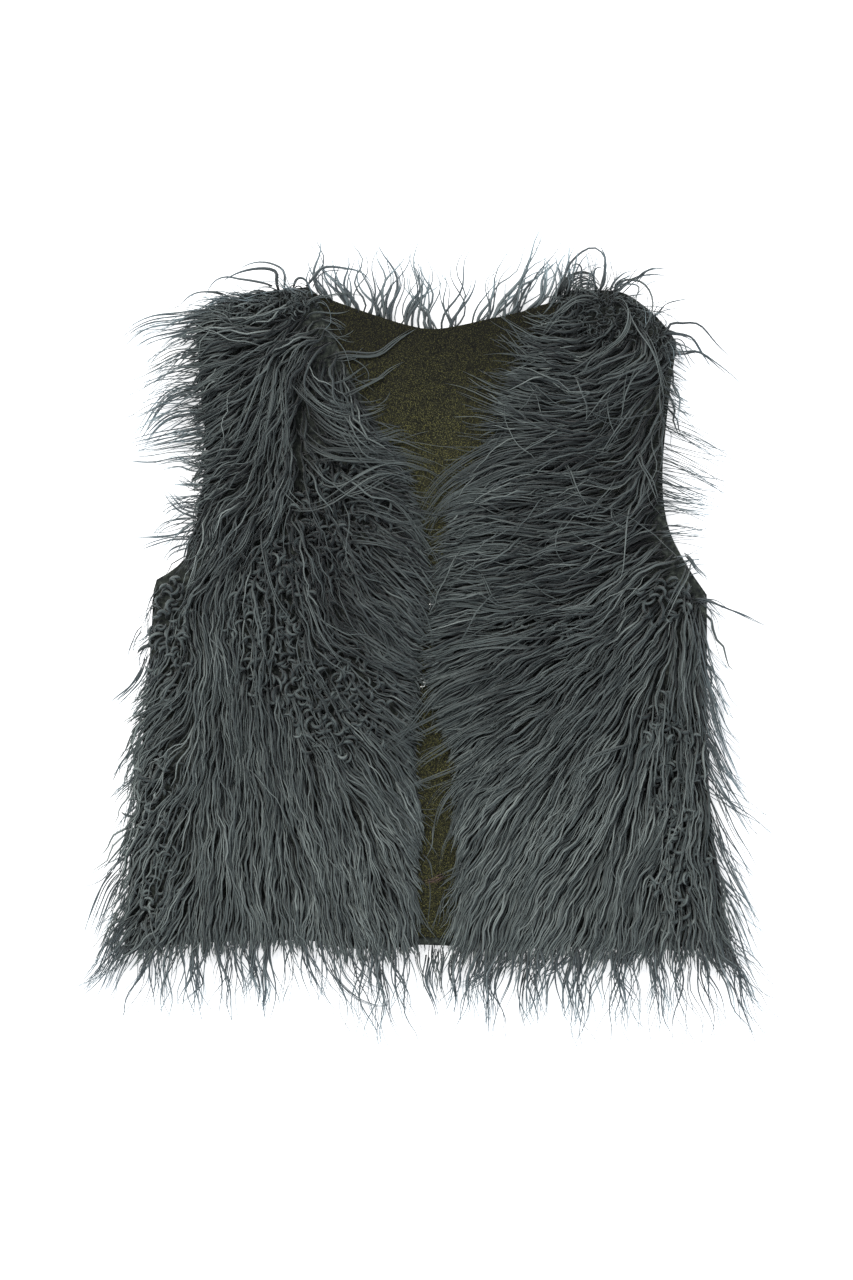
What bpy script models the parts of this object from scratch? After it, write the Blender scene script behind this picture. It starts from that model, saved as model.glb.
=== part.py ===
"""A faux fur vest lying flat on its back, its two fronts closed by a pair of wire hooks.

Metres, +Z up. +X runs across the vest, +Y from the hem to the neck, and the underside of the back lies on z = 0.
The outlines are measured from the middle of the hem, and LAY_X and LAY_Y bring the middle of the whole vest,
fur tips included, over the origin.
"""

import math
import random

import bmesh
import bpy
from mathutils import Vector

LAY_X = 0.0052
LAY_Y = -0.1964

# Heights of the layers, from the table up
SEAM_GAP = 0.0003
BACK_TOP = 0.0080
LINING_THICK = 0.0010
LINING_BOTTOM = BACK_TOP + SEAM_GAP
LINING_TOP = LINING_BOTTOM + LINING_THICK
FRONT_BOTTOM = LINING_TOP + SEAM_GAP

# The fur cloth: how deep the pile lies at a cut edge and away from it, and how far in it takes to rise
EDGE_PILE = 0.0034
FULL_PILE = 0.0125
PILE_RISE = 0.020

# Tufts of pile that stand out of the fronts: their size, their spacing and how far they rise
TUFT_LONG = 0.021
TUFT_WIDE = 0.0082
TUFT_RISE = 0.0055
TUFT_PITCH = 0.019
TUFT_ROW_SHARE = 0.85
TUFT_STRAY = 0.4 * TUFT_PITCH
TUFT_TURN = 0.25
TUFT_TAPER = 0.35

# Panel grids: cells across and up a front, how much finer its columns are at its edges, and the steps round the back
FRONT_ACROSS = 26
FRONT_UP = 46
EDGE_EASE = 0.085
RIM_STEP = 0.009

# Lock strips: the narrow backing that carries each row of locks, and the heights that the strips' middles lie at
STRIP_DEEP = 0.0014
STRIP_TALL = 0.0024
FRONT_LEVEL = FRONT_BOTTOM + 0.0015
SEWN_LEVEL = FRONT_BOTTOM + 0.0008
NECK_LEVEL = 0.0045

# Locks: their width at the root as a share of the pitch, and the most of their room that they fill further out. Every
# other tip lies higher, and their bends change slowly along the row, so that neighbours stay clear of each other.
ROOT_SHARE = 0.60
ROOM_SHARE = 0.50
SHORTEST = 0.78
TIP_STAGGER = 0.0013
LOCK_BEND = 0.0014
LOCK_BEND_TURN = 0.9
LOCK_SHOULDER = 0.35
LOCK_DROOP = 1.5
# Along each lock: how far along it, its width, its height, and which way it bends there
LOCK_RINGS = ((0.38, 0.0036, 0.0022, 1.0), (0.74, 0.0024, 0.0015, -0.8))

# Wire hooks and eyes: the eye's bar stands off the left front's edge, and the hook comes from the right front's
WIRE_RADIUS = 0.0005
WIRE_BEVEL = 1
WIRE_SEAT = 0.0004
EYE_REACH = 0.0031
EYE_HALF = 0.0026
EYE_CORNER = 0.0006
BAR_HEIGHT = FRONT_BOTTOM + 0.0023
HOOK_BEND = 2 * WIRE_RADIUS + 2 * SEAM_GAP
HOOK_STEPS = 7
HOOK_START = 62
HOOK_STEP = 36
HOOK_PLACES = (("upper", 0.2145), ("lower", 0.1660))

# Outlines as (x, y). Left and right are the viewer's, looking down on the vest.
LEFT_SIDE = ((-0.190, 0.000), (-0.188, 0.030), (-0.182, 0.092), (-0.1765, 0.154), (-0.1735, 0.191), (-0.1715, 0.229))
LEFT_ARMHOLE = ((-0.1715, 0.229), (-0.1605, 0.2355), (-0.1510, 0.245), (-0.1430, 0.278), (-0.1395, 0.312),
                (-0.1425, 0.346), (-0.1455, 0.389))
LEFT_SHOULDER = ((-0.1455, 0.389), (-0.1320, 0.4005), (-0.1090, 0.4075), (-0.0760, 0.4115))
LEFT_FRONT_EDGE = ((-0.0060, 0.002), (-0.0040, 0.042), (-0.0022, 0.080), (-0.0052, 0.117), (-0.0040, 0.166),
                   (-0.0022, 0.216), (-0.0048, 0.253), (-0.0120, 0.284), (-0.0260, 0.315), (-0.0430, 0.343),
                   (-0.0560, 0.371), (-0.0660, 0.396), (-0.0760, 0.4115))
RIGHT_SIDE = ((0.188, -0.002), (0.1845, 0.030), (0.1780, 0.086), (0.1740, 0.129), (0.1725, 0.188), (0.1715, 0.2205))
RIGHT_ARMHOLE = ((0.1715, 0.2205), (0.1590, 0.2390), (0.1475, 0.2630), (0.1440, 0.2930), (0.1475, 0.3370),
                 (0.1530, 0.3770))
RIGHT_SHOULDER = ((0.1530, 0.3770), (0.1445, 0.3885), (0.1310, 0.4010), (0.1170, 0.4085), (0.0840, 0.4095))
RIGHT_FRONT_EDGE = ((0.0180, 0.001), (0.0172, 0.048), (0.0165, 0.092), (0.0100, 0.129), (0.0040, 0.166),
                    (0.0040, 0.216), (0.0105, 0.253), (0.0223, 0.284), (0.0372, 0.315), (0.0502, 0.343),
                    (0.0626, 0.371), (0.0750, 0.3925), (0.0840, 0.4095))
BACK_NECK = ((-0.0730, 0.4080), (-0.0460, 0.3980), (-0.0105, 0.3870), (0.0050, 0.3856), (0.0350, 0.3915),
             (0.0640, 0.3985), (0.0810, 0.4070))

# The back lies a little inside the fronts at the side seams, shoulders and hem, but not along the neck, and the
# lining a little inside the back
BACK_INSET = 0.0022
BACK_HEM_Y = 0.0042
NECK_HALF = 0.0735
NECK_FOOT = 0.300
LINING_INSET = 0.0012
# The back's edge from the underside up: how far in, and how high
BACK_EDGE = ((0.0030, 0.0), (0.0, 0.0022), (0.0, BACK_TOP - 0.0016), (0.0006, BACK_TOP))

# Which way the pile of each front is combed: place and compass of the tips, in degrees counter-clockwise from +X
LEFT_COMB = (
    # x, y, angle
    (-0.115, 0.390, 186), (-0.080, 0.385, 215), (-0.125, 0.345, 205), (-0.090, 0.345, 245), (-0.062, 0.340, 300),
    (-0.125, 0.290, 208), (-0.095, 0.290, 252), (-0.060, 0.300, 318), (-0.030, 0.290, 345), (-0.110, 0.245, 235),
    (-0.070, 0.240, 290), (-0.025, 0.245, 328), (-0.155, 0.205, 250), (-0.120, 0.195, 262), (-0.070, 0.190, 292),
    (-0.020, 0.195, 314), (-0.165, 0.130, 245), (-0.110, 0.120, 268), (-0.055, 0.120, 286), (-0.015, 0.125, 302),
    (-0.170, 0.065, 243), (-0.120, 0.065, 270), (-0.065, 0.065, 280), (-0.015, 0.065, 300), (-0.178, 0.015, 236),
    (-0.120, 0.015, 268), (-0.060, 0.015, 279), (-0.012, 0.015, 288),
)
RIGHT_COMB = (
    # x, y, angle
    (0.105, 0.390, 205), (0.135, 0.385, 262), (0.080, 0.365, 172), (0.120, 0.350, 205), (0.055, 0.340, 162),
    (0.140, 0.330, 250), (0.080, 0.325, 176), (0.040, 0.300, 208), (0.100, 0.300, 196), (0.135, 0.295, 238),
    (0.030, 0.265, 198), (0.090, 0.265, 183), (0.140, 0.250, 205), (0.035, 0.220, 192), (0.085, 0.215, 191),
    (0.140, 0.210, 220), (0.025, 0.175, 210), (0.075, 0.175, 206), (0.120, 0.170, 224), (0.160, 0.180, 250),
    (0.025, 0.120, 226), (0.075, 0.115, 220), (0.125, 0.110, 232), (0.165, 0.115, 262), (0.030, 0.065, 238),
    (0.085, 0.065, 232), (0.135, 0.060, 244), (0.172, 0.055, 276), (0.030, 0.015, 250), (0.085, 0.015, 246),
    (0.140, 0.015, 262), (0.180, 0.015, 288),
)

# Rows of locks. Each row of a table: how far along the edge, the angle that the locks point (degrees counter-clockwise
# from +X), their length, and the height of their tips. A side's and an armhole's edge runs upwards, a hem's runs from
# left to right, a shoulder's from its outer end, and a front edge's upwards.
LEFT_HEM_LOCKS = ((0.0, 232, 0.047, 0.0040), (0.12, 252, 0.040, 0.0035), (0.45, 270, 0.038, 0.0035),
                  (0.80, 279, 0.036, 0.0035), (1.0, 284, 0.030, 0.0040))
RIGHT_HEM_LOCKS = ((0.0, 256, 0.036, 0.0040), (0.35, 262, 0.041, 0.0035), (0.75, 272, 0.040, 0.0035),
                   (0.92, 287, 0.038, 0.0035), (1.0, 300, 0.040, 0.0040))
LEFT_SIDE_LOCKS = ((0.0, 226, 0.036, 0.0060), (0.20, 229, 0.029, 0.0060), (0.55, 231, 0.023, 0.0065),
                   (0.90, 229, 0.026, 0.0070), (1.0, 224, 0.028, 0.0070))
RIGHT_SIDE_LOCKS = ((0.0, 307, 0.028, 0.0060), (0.30, 306, 0.024, 0.0060), (0.65, 308, 0.026, 0.0065),
                    (0.88, 315, 0.035, 0.0070), (1.0, 322, 0.042, 0.0070))
LEFT_ARMHOLE_LOCKS = ((0.0, 206, 0.026, 0.0085), (0.35, 214, 0.040, 0.0080), (0.70, 208, 0.046, 0.0080),
                      (1.0, 190, 0.038, 0.0085))
RIGHT_ARMHOLE_LOCKS = ((0.0, 322, 0.026, 0.0085), (0.35, 312, 0.040, 0.0080), (0.75, 318, 0.040, 0.0080),
                       (1.0, 340, 0.030, 0.0085))
LEFT_SHOULDER_LOCKS = ((0.0, 168, 0.020, 0.0120), (0.5, 150, 0.017, 0.0130), (1.0, 118, 0.015, 0.0130))
RIGHT_SHOULDER_LOCKS = ((0.0, 20, 0.022, 0.0120), (0.4, 62, 0.026, 0.0140), (1.0, 96, 0.026, 0.0140))
NECK_LOCKS = ((0.0, 104, 0.022, 0.0060), (0.25, 96, 0.036, 0.0070), (0.5, 88, 0.038, 0.0070),
              (0.8, 82, 0.030, 0.0070), (1.0, 76, 0.018, 0.0060))
LEFT_V_LOCKS = ((0.0, 318, 0.007, 0.0108), (0.25, 330, 0.016, 0.0108), (0.55, 338, 0.030, 0.0110),
                (0.85, 350, 0.026, 0.0110), (1.0, 370, 0.018, 0.0112))
RIGHT_V_LOCKS = ((0.0, 214, 0.007, 0.0120), (0.25, 200, 0.016, 0.0120), (0.55, 188, 0.034, 0.0112),
                 (0.85, 174, 0.028, 0.0114), (1.0, 164, 0.018, 0.0116))
LEFT_GAP_LOCKS = ((0.0, 290, 0.012, 0.0108), (1.0, 305, 0.010, 0.0108))
RIGHT_GAP_LOCKS = ((0.0, 250, 0.015, 0.0124), (1.0, 228, 0.014, 0.0124))


def rested(x, y, z):
    """A point of the vest, given from the middle of its hem, where it lies over the origin."""
    return Vector((x + LAY_X, y + LAY_Y, z))


def clear_scene():
    for thing in list(bpy.data.objects):
        bpy.data.objects.remove(thing)


def finish(name, colour, roughness, metallic=0.0):
    made = bpy.data.materials.new(name)
    made.use_nodes = True
    shader = made.node_tree.nodes["Principled BSDF"]
    shader.inputs["Base Color"].default_value = (*colour, 1.0)
    shader.inputs["Roughness"].default_value = roughness
    shader.inputs["Metallic"].default_value = metallic
    made.diffuse_color = (*colour, 1.0)
    return made


def smooth_line(points, per_span=8):
    """A smooth curve through the points, as a list of (x, y), with tangents from each point's two neighbours."""
    places = [Vector(p) for p in points]
    tangents = []
    for i, place in enumerate(places):
        before = places[max(i - 1, 0)]
        after = places[min(i + 1, len(places) - 1)]
        reach = (place - before).length + (after - place).length
        tangents.append((after - before) / reach)
    line = []
    for i in range(len(places) - 1):
        span = (places[i + 1] - places[i]).length
        for k in range(per_span):
            u = k / per_span
            line.append(places[i] * (2 * u**3 - 3 * u**2 + 1) + tangents[i] * span * (u**3 - 2 * u**2 + u)
                        + places[i + 1] * (3 * u**2 - 2 * u**3) + tangents[i + 1] * span * (u**3 - u**2))
    return line + [places[-1]]


def joined(*lines):
    """Curves that follow one another, as one line with no point twice."""
    whole = list(lines[0])
    for line in lines[1:]:
        whole += line[1:]
    return whole


def backwards(line):
    return list(reversed(line))


def lengths_along(line):
    along = [0.0]
    for a, b in zip(line, line[1:]):
        along.append(along[-1] + (b - a).length)
    return along


def at_fraction(line, along, fraction):
    """The point this share of the way along a line, and the line's direction there."""
    wanted = min(max(fraction, 0.0), 1.0) * along[-1]
    i = 0
    while i < len(along) - 2 and along[i + 1] < wanted:
        i += 1
    run = line[i + 1] - line[i]
    return line[i] + run * (wanted - along[i]) / max(along[i + 1] - along[i], 1e-9), run.normalized()


def evenly(line, count):
    along = lengths_along(line)
    return [at_fraction(line, along, k / count)[0] for k in range(count + 1)]


def edge_distance(place, ring):
    """How far a point lies from a closed outline."""
    best = math.inf
    for a, b in zip(ring, ring[1:] + ring[:1]):
        run = b - a
        t = min(max((place - a).dot(run) / max(run.length_squared, 1e-12), 0.0), 1.0)
        best = min(best, (place - a - run * t).length)
    return best


def inset(ring, distance, stays=None):
    """A counter-clockwise outline moved inwards, apart from the points that stays says keep their place."""
    moved = []
    for i, place in enumerate(ring):
        before = (place - ring[i - 1]).normalized()
        after = (ring[(i + 1) % len(ring)] - place).normalized()
        mitre = Vector((-before.y - after.y, before.x + after.x)) / (1 + before.dot(after))
        moved.append(place if stays and stays(place) else place + mitre * distance)
    return moved


def stepped(line, step):
    """Points about a step apart along a line, both its ends kept."""
    return evenly(line, max(1, round(lengths_along(line)[-1] / step)))


def combed_angle(place, comb):
    """The way the pile lies at a place, in radians: the comb table's rows, weighed by nearness."""
    east = north = 0.0
    for x, y, angle in comb:
        weight = 1.0 / ((place.x - x) ** 2 + (place.y - y) ** 2 + 1e-6) ** 1.5
        east += weight * math.cos(math.radians(angle))
        north += weight * math.sin(math.radians(angle))
    return math.atan2(north, east)


def tufts_over(ring, comb, seed):
    """Tufts on a jittered lattice over a panel, each as (place, direction, height)."""
    draw = random.Random(seed)
    low_x = min(p.x for p in ring)
    high_x = max(p.x for p in ring)
    high_y = max(p.y for p in ring)
    tufts = []
    y = 0.0
    row = 0
    while y < high_y:
        x = low_x + (row % 2) * TUFT_PITCH / 2
        while x < high_x:
            place = Vector((x + draw.uniform(-TUFT_STRAY, TUFT_STRAY), y + draw.uniform(-TUFT_STRAY, TUFT_STRAY)))
            angle = combed_angle(place, comb) + draw.uniform(-TUFT_TURN, TUFT_TURN)
            tufts.append((place, Vector((math.cos(angle), math.sin(angle))), TUFT_RISE * draw.uniform(0.5, 1.0)))
            x += TUFT_PITCH
        y += TUFT_PITCH * TUFT_ROW_SHARE
        row += 1
    return tufts


def tuft_height(place, tufts):
    """How far the tallest tuft over a place lifts the pile. A tuft is steep at its root and thin at its tip."""
    best = 0.0
    for middle, direction, rise in tufts:
        off = place - middle
        if off.length_squared > (2 * TUFT_LONG) ** 2:
            continue
        down = off.dot(direction) / TUFT_LONG
        across = off.cross(direction) / (TUFT_WIDE * (1.0 - TUFT_TAPER * max(min(down, 1.0), -1.0)))
        best = max(best, rise * math.exp(-down * down - across * across))
    return best


def eased(u):
    """A share from 0 to 1 that moves slowly at both ends, so that a grid is finer along a panel's edges."""
    return u - EDGE_EASE * math.sin(2 * math.pi * u)


def patch(outer, inner, hem, top, across, up):
    """A grid of (x, y) between four boundary curves, rows from the hem up and columns from outer to inner."""
    lines = [(line, lengths_along(line)) for line in (outer, inner, hem, top)]
    rows = []
    for j in range(up + 1):
        t = j / up
        left = at_fraction(*lines[0], t)[0]
        right = at_fraction(*lines[1], t)[0]
        row = []
        for i in range(across + 1):
            s = eased(i / across)
            low = at_fraction(*lines[2], s)[0]
            high = at_fraction(*lines[3], s)[0]
            corners = (outer[0] * (1 - s) + inner[0] * s) * (1 - t) + (outer[-1] * (1 - s) + inner[-1] * s) * t
            row.append(low * (1 - t) + high * t + left * (1 - s) + right * s - corners)
        rows.append(row)
    return rows


def object_from(bm, name, material, collection):
    """A closed shell turned outwards, as an object of its own."""
    bmesh.ops.recalc_face_normals(bm, faces=bm.faces)
    if bm.calc_volume(signed=True) < 0:
        bmesh.ops.reverse_faces(bm, faces=bm.faces)
    bmesh.ops.triangulate(bm, faces=[f for f in bm.faces if len(f.verts) > 3])
    mesh = bpy.data.meshes.new(name)
    bm.to_mesh(mesh)
    bm.free()
    mesh.materials.append(material)
    mesh.shade_smooth()
    mesh.set_sharp_from_angle(angle=math.radians(50))
    made = bpy.data.objects.new(name, mesh)
    collection.objects.link(made)
    return made


def ring_of_grid(across, up):
    """The grid places round a patch's rim, in order."""
    return ([(i, 0) for i in range(across)] + [(across, j) for j in range(up)]
            + [(i, up) for i in range(across, 0, -1)] + [(0, j) for j in range(up, 0, -1)])


def front_panel(name, side, armhole, shoulder, front_edge, comb, seed, material, collection):
    """One front: a plain underside on the lining, and pile on top that rises from its edges in combed tufts."""
    outer = joined(smooth_line(side), smooth_line(armhole))
    top = smooth_line(shoulder)
    inner = smooth_line(front_edge)
    hem = [outer[0], inner[0]]
    ring = joined(outer, top)[:-1] + backwards(inner)
    grid = patch(outer, inner, hem, top, FRONT_ACROSS, FRONT_UP)
    tufts = tufts_over(ring, comb, seed)
    bm = bmesh.new()
    upper = {}
    for j, row in enumerate(grid):
        for i, place in enumerate(row):
            rise = min(edge_distance(place, ring) / PILE_RISE, 1.0)
            pile = EDGE_PILE + (FULL_PILE - EDGE_PILE) * math.sin(rise * math.pi / 2)
            pile += tuft_height(place, tufts) * rise
            upper[i, j] = bm.verts.new(rested(place.x, place.y, FRONT_BOTTOM + pile))
    for j in range(FRONT_UP):
        for i in range(FRONT_ACROSS):
            bm.faces.new((upper[i, j], upper[i + 1, j], upper[i + 1, j + 1], upper[i, j + 1]))
    rim = ring_of_grid(FRONT_ACROSS, FRONT_UP)
    under = [bm.verts.new(rested(grid[j][i].x, grid[j][i].y, FRONT_BOTTOM)) for i, j in rim]
    for k, here in enumerate(rim):
        after = (k + 1) % len(rim)
        bm.faces.new((upper[here], upper[rim[after]], under[after], under[k]))
    bm.faces.new(under)
    return object_from(bm, name, material, collection)


def slab_of_rings(name, rings, material, collection):
    """A closed slab through rings of (outline, height), from the underside up, with flat ends."""
    bm = bmesh.new()
    loops = [[bm.verts.new(rested(p.x, p.y, height)) for p in ring] for ring, height in rings]
    count = len(loops[0])
    for low, high in zip(loops, loops[1:]):
        for k in range(count):
            after = (k + 1) % count
            bm.faces.new((low[k], low[after], high[after], high[k]))
    bm.faces.new(list(reversed(loops[0])))
    bm.faces.new(loops[-1])
    return object_from(bm, name, material, collection)


def back_outline():
    """The back's cut edge, counter-clockwise from the left end of the hem."""
    pieces = [[Vector(LEFT_SIDE[0]), Vector(RIGHT_SIDE[0])], smooth_line(RIGHT_SIDE), smooth_line(RIGHT_ARMHOLE),
              smooth_line(RIGHT_SHOULDER)[:-4], backwards(smooth_line(BACK_NECK)),
              backwards(smooth_line(LEFT_SHOULDER)[:-4]), backwards(smooth_line(LEFT_ARMHOLE)),
              backwards(smooth_line(LEFT_SIDE))]
    ring = []
    for piece in pieces:
        points = stepped(piece, RIM_STEP)
        if ring and (points[0] - ring[-1]).length < RIM_STEP / 4:
            points = points[1:]
        ring += points
    ring.pop()
    return [Vector((p.x, max(p.y, BACK_HEM_Y))) for p in inset(ring, BACK_INSET, in_neck)]


def in_neck(place):
    return abs(place.x) < NECK_HALF and place.y > NECK_FOOT


def back_panel(outline, material, collection):
    """The back: fur cloth face down, its pile pressed flat by the weight, so its underside is flat."""
    rings = [(inset(outline, distance), height) for distance, height in BACK_EDGE]
    return slab_of_rings("back_fur", rings, material, collection)


def back_lining(outline, material, collection):
    """The lining: a thin flat sheet on the back, turned in along every seam."""
    edge = inset(outline, LINING_INSET)
    return slab_of_rings("back_lining", ((edge, LINING_BOTTOM), (edge, LINING_TOP)), material, collection)


def lock_strip(name, line, span, count, level, table, spread, seed, material, collection):
    """A row of locks on a narrow strip, which runs 0.3 mm outside a panel's edge, on the left of the line's direction.

    span is the stretch of the line that has locks, level the height of the strip's middle, and spread how far each
    lock's angle strays, in degrees.
    """
    draw = random.Random(seed)
    along = lengths_along(line)
    pitch = (span[1] - span[0]) / count
    bm = bmesh.new()
    sections = []
    for k in range(count):
        for off in (0.5 - ROOT_SHARE / 2, 0.5 + ROOT_SHARE / 2):
            place, run = at_fraction(line, along, span[0] + (k + off) * pitch)
            side = Vector((-run.y, run.x))
            near = place + side * SEAM_GAP
            far = place + side * (SEAM_GAP + STRIP_DEEP)
            corners = ((near, -0.5), (far, -0.5), (far, 0.5), (near, 0.5))
            sections.append([bm.verts.new(rested(p.x, p.y, level + half * STRIP_TALL)) for p, half in corners])
    for k, (a, b) in enumerate(zip(sections, sections[1:])):
        between_locks = k % 2 == 1
        for c in range(4):
            if c != 1 or between_locks:
                bm.faces.new((a[c], b[c], b[(c + 1) % 4], a[(c + 1) % 4]))
    bm.faces.new(sections[0])
    bm.faces.new(backwards(sections[-1]))
    for k in range(count):
        a, b = sections[2 * k], sections[2 * k + 1]
        share = (k + 0.5) / count
        angle = math.radians(read_table(table, share, 1) + draw.uniform(-spread, spread))
        length = read_table(table, share, 2) * draw.uniform(SHORTEST, 1.0)
        tip_z = read_table(table, share, 3) + (TIP_STAGGER if k % 2 else -TIP_STAGGER)
        bend = LOCK_BEND * math.sin(LOCK_BEND_TURN * k)
        grow_lock(bm, [a[1], b[1], b[2], a[2]], angle, length, level, tip_z, bend)
    return object_from(bm, name, material, collection)


def grow_lock(bm, root, angle, length, level, tip_z, bend):
    """A four-sided lock out of an open square of a strip: it leaves the strip squarely and turns to its own angle."""
    edge = (root[1].co - root[0].co).to_2d()
    outward = Vector((-edge.y, edge.x)).normalized()
    ahead = Vector((math.cos(angle), math.sin(angle)))
    start = (root[0].co + root[1].co).to_2d() / 2
    loop = root
    for reach, width, tall, swing in LOCK_RINGS:
        heading = (ahead * reach + outward * (1 - reach)).normalized()
        across = Vector((heading.y, -heading.x))
        if across.dot(edge) < 0:
            across.negate()
        centre = start + (ahead + outward * LOCK_SHOULDER * (1 - reach)) * reach * length + across * bend * swing
        z = level + (tip_z - level) * reach**LOCK_DROOP
        room = edge.length / ROOT_SHARE * abs(heading.dot(outward))
        half = across * min(width, ROOM_SHARE * room) / 2
        corners = ((centre - half, -0.5), (centre + half, -0.5), (centre + half, 0.5), (centre - half, 0.5))
        ring = [bm.verts.new(Vector((p.x, p.y, z + up * tall))) for p, up in corners]
        for c in range(4):
            bm.faces.new((loop[c], loop[(c + 1) % 4], ring[(c + 1) % 4], ring[c]))
        loop = ring
    end = start + ahead * length
    tip = bm.verts.new(Vector((end.x, end.y, tip_z)))
    for c in range(4):
        bm.faces.new((loop[c], loop[(c + 1) % 4], tip))


def read_table(table, share, column):
    """A column's value at a share along the edge, between the rows on either side."""
    for low, high in zip(table, table[1:]):
        if share <= high[0]:
            u = (share - low[0]) / (high[0] - low[0])
            return low[column] + (high[column] - low[column]) * min(max(u, 0.0), 1.0)
    return table[-1][column]


def wire(name, points, material, collection):
    """A bent wire through the points, round in section."""
    curve = bpy.data.curves.new(name, "CURVE")
    curve.dimensions = "3D"
    curve.bevel_depth = WIRE_RADIUS
    curve.bevel_resolution = WIRE_BEVEL
    curve.use_fill_caps = True
    spline = curve.splines.new("POLY")
    spline.points.add(len(points) - 1)
    for target, point in zip(spline.points, points):
        target.co = (*rested(*point), 1.0)
    curve.materials.append(material)
    made = bpy.data.objects.new(name, curve)
    collection.objects.link(made)
    return made


def hook_and_eye(place, y, left_x, right_x, material, collection):
    """A wire hook from the right front's edge, caught in a wire eye from the left front's edge."""
    bar_x = left_x + EYE_REACH
    lower, upper = y - EYE_HALF, y + EYE_HALF
    eye = [(left_x + WIRE_SEAT, lower), (bar_x - EYE_CORNER, lower), (bar_x, lower + EYE_CORNER),
           (bar_x, upper - EYE_CORNER), (bar_x - EYE_CORNER, upper), (left_x + WIRE_SEAT, upper)]
    wire(f"eye_{place}", [(*point, BAR_HEIGHT) for point in eye], material, collection)
    shank_x = right_x - WIRE_SEAT
    hook = [(shank_x, y, BAR_HEIGHT + 0.0002), (shank_x - 0.0008, y, BAR_HEIGHT + 0.0010)]
    for k in range(HOOK_STEPS):
        turn = math.radians(HOOK_START + k * HOOK_STEP)
        hook.append((bar_x + HOOK_BEND * math.cos(turn) * 0.95, y, BAR_HEIGHT + HOOK_BEND * math.sin(turn) * 0.86))
    wire(f"hook_{place}", hook, material, collection)


def edge_x(points, y):
    """Where a front's edge crosses a height."""
    return min(smooth_line(points, 40), key=lambda p: abs(p.y - y)).x


def from_other_end(table):
    """A table of locks read from the other end of its edge."""
    return tuple((1.0 - row[0], *row[1:]) for row in reversed(table))


def lock_rows(material, collection):
    """Every row of locks, each on the edge of the panel that it grows from, with the panel on the line's right."""
    left_edge, right_edge = smooth_line(LEFT_FRONT_EDGE), smooth_line(RIGHT_FRONT_EDGE)
    left_side, right_side = smooth_line(LEFT_SIDE), smooth_line(RIGHT_SIDE)
    left_hem = [left_edge[0], left_side[0]]
    right_hem = [right_side[0], right_edge[0]]
    left_arm, right_arm = smooth_line(LEFT_ARMHOLE), backwards(smooth_line(RIGHT_ARMHOLE))
    left_shoulder, right_shoulder = smooth_line(LEFT_SHOULDER), backwards(smooth_line(RIGHT_SHOULDER))
    rows = (
        # name, edge, stretch, locks, level, table, degrees that they stray
        ("left_hem_locks", left_hem, (0.02, 0.985), 31, FRONT_LEVEL, from_other_end(LEFT_HEM_LOCKS), 2),
        ("right_hem_locks", right_hem, (0.015, 0.98), 29, FRONT_LEVEL, from_other_end(RIGHT_HEM_LOCKS), 2),
        ("left_side_locks", left_side, (0.03, 0.985), 21, SEWN_LEVEL, LEFT_SIDE_LOCKS, 1),
        ("right_side_locks", backwards(right_side), (0.015, 0.97), 21, SEWN_LEVEL, from_other_end(RIGHT_SIDE_LOCKS), 1),
        ("left_armhole_locks", left_arm, (0.22, 0.98), 18, SEWN_LEVEL, LEFT_ARMHOLE_LOCKS, 1.5),
        ("right_armhole_locks", right_arm, (0.02, 0.78), 18, SEWN_LEVEL, from_other_end(RIGHT_ARMHOLE_LOCKS), 1.5),
        ("left_shoulder_locks", left_shoulder, (0.04, 0.96), 11, SEWN_LEVEL, LEFT_SHOULDER_LOCKS, 3),
        ("right_shoulder_locks", right_shoulder, (0.04, 0.96), 11, SEWN_LEVEL, from_other_end(RIGHT_SHOULDER_LOCKS), 3),
        ("neck_locks", smooth_line(BACK_NECK), (0.03, 0.97), 22, NECK_LEVEL, NECK_LOCKS, 2.5),
        ("left_v_locks", backwards(left_edge), (0.03, 0.40), 13, FRONT_LEVEL, from_other_end(LEFT_V_LOCKS), 3),
        ("right_v_locks", right_edge, (0.60, 0.97), 13, FRONT_LEVEL, RIGHT_V_LOCKS, 3),
        ("left_gap_locks", backwards(left_edge), (0.72, 0.99), 8, FRONT_LEVEL, from_other_end(LEFT_GAP_LOCKS), 3),
        ("right_gap_locks", right_edge, (0.01, 0.28), 8, FRONT_LEVEL, RIGHT_GAP_LOCKS, 3),
    )
    for seed, row in enumerate(rows):
        lock_strip(*row, seed, material, collection)


def build():
    clear_scene()
    parts = bpy.data.collections.new("faux_fur_vest")
    bpy.context.scene.collection.children.link(parts)
    fur = finish("charcoal_faux_fur", (0.060, 0.072, 0.073), 0.72)
    lining = finish("bronze_fleck_lining", (0.030, 0.027, 0.013), 0.55)
    steel = finish("nickel_wire", (0.60, 0.59, 0.56), 0.28, 1.0)

    outline = back_outline()
    back_panel(outline, fur, parts)
    back_lining(outline, lining, parts)
    fronts = (
        ("front_left_fur", LEFT_SIDE, LEFT_ARMHOLE, LEFT_SHOULDER, LEFT_FRONT_EDGE, LEFT_COMB),
        ("front_right_fur", RIGHT_SIDE, RIGHT_ARMHOLE, RIGHT_SHOULDER, RIGHT_FRONT_EDGE, RIGHT_COMB),
    )
    for seed, front in enumerate(fronts):
        front_panel(*front, seed, fur, parts)
    lock_rows(fur, parts)
    for place, y in HOOK_PLACES:
        hook_and_eye(place, y, edge_x(LEFT_FRONT_EDGE, y), edge_x(RIGHT_FRONT_EDGE, y), steel, parts)


build()
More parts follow.
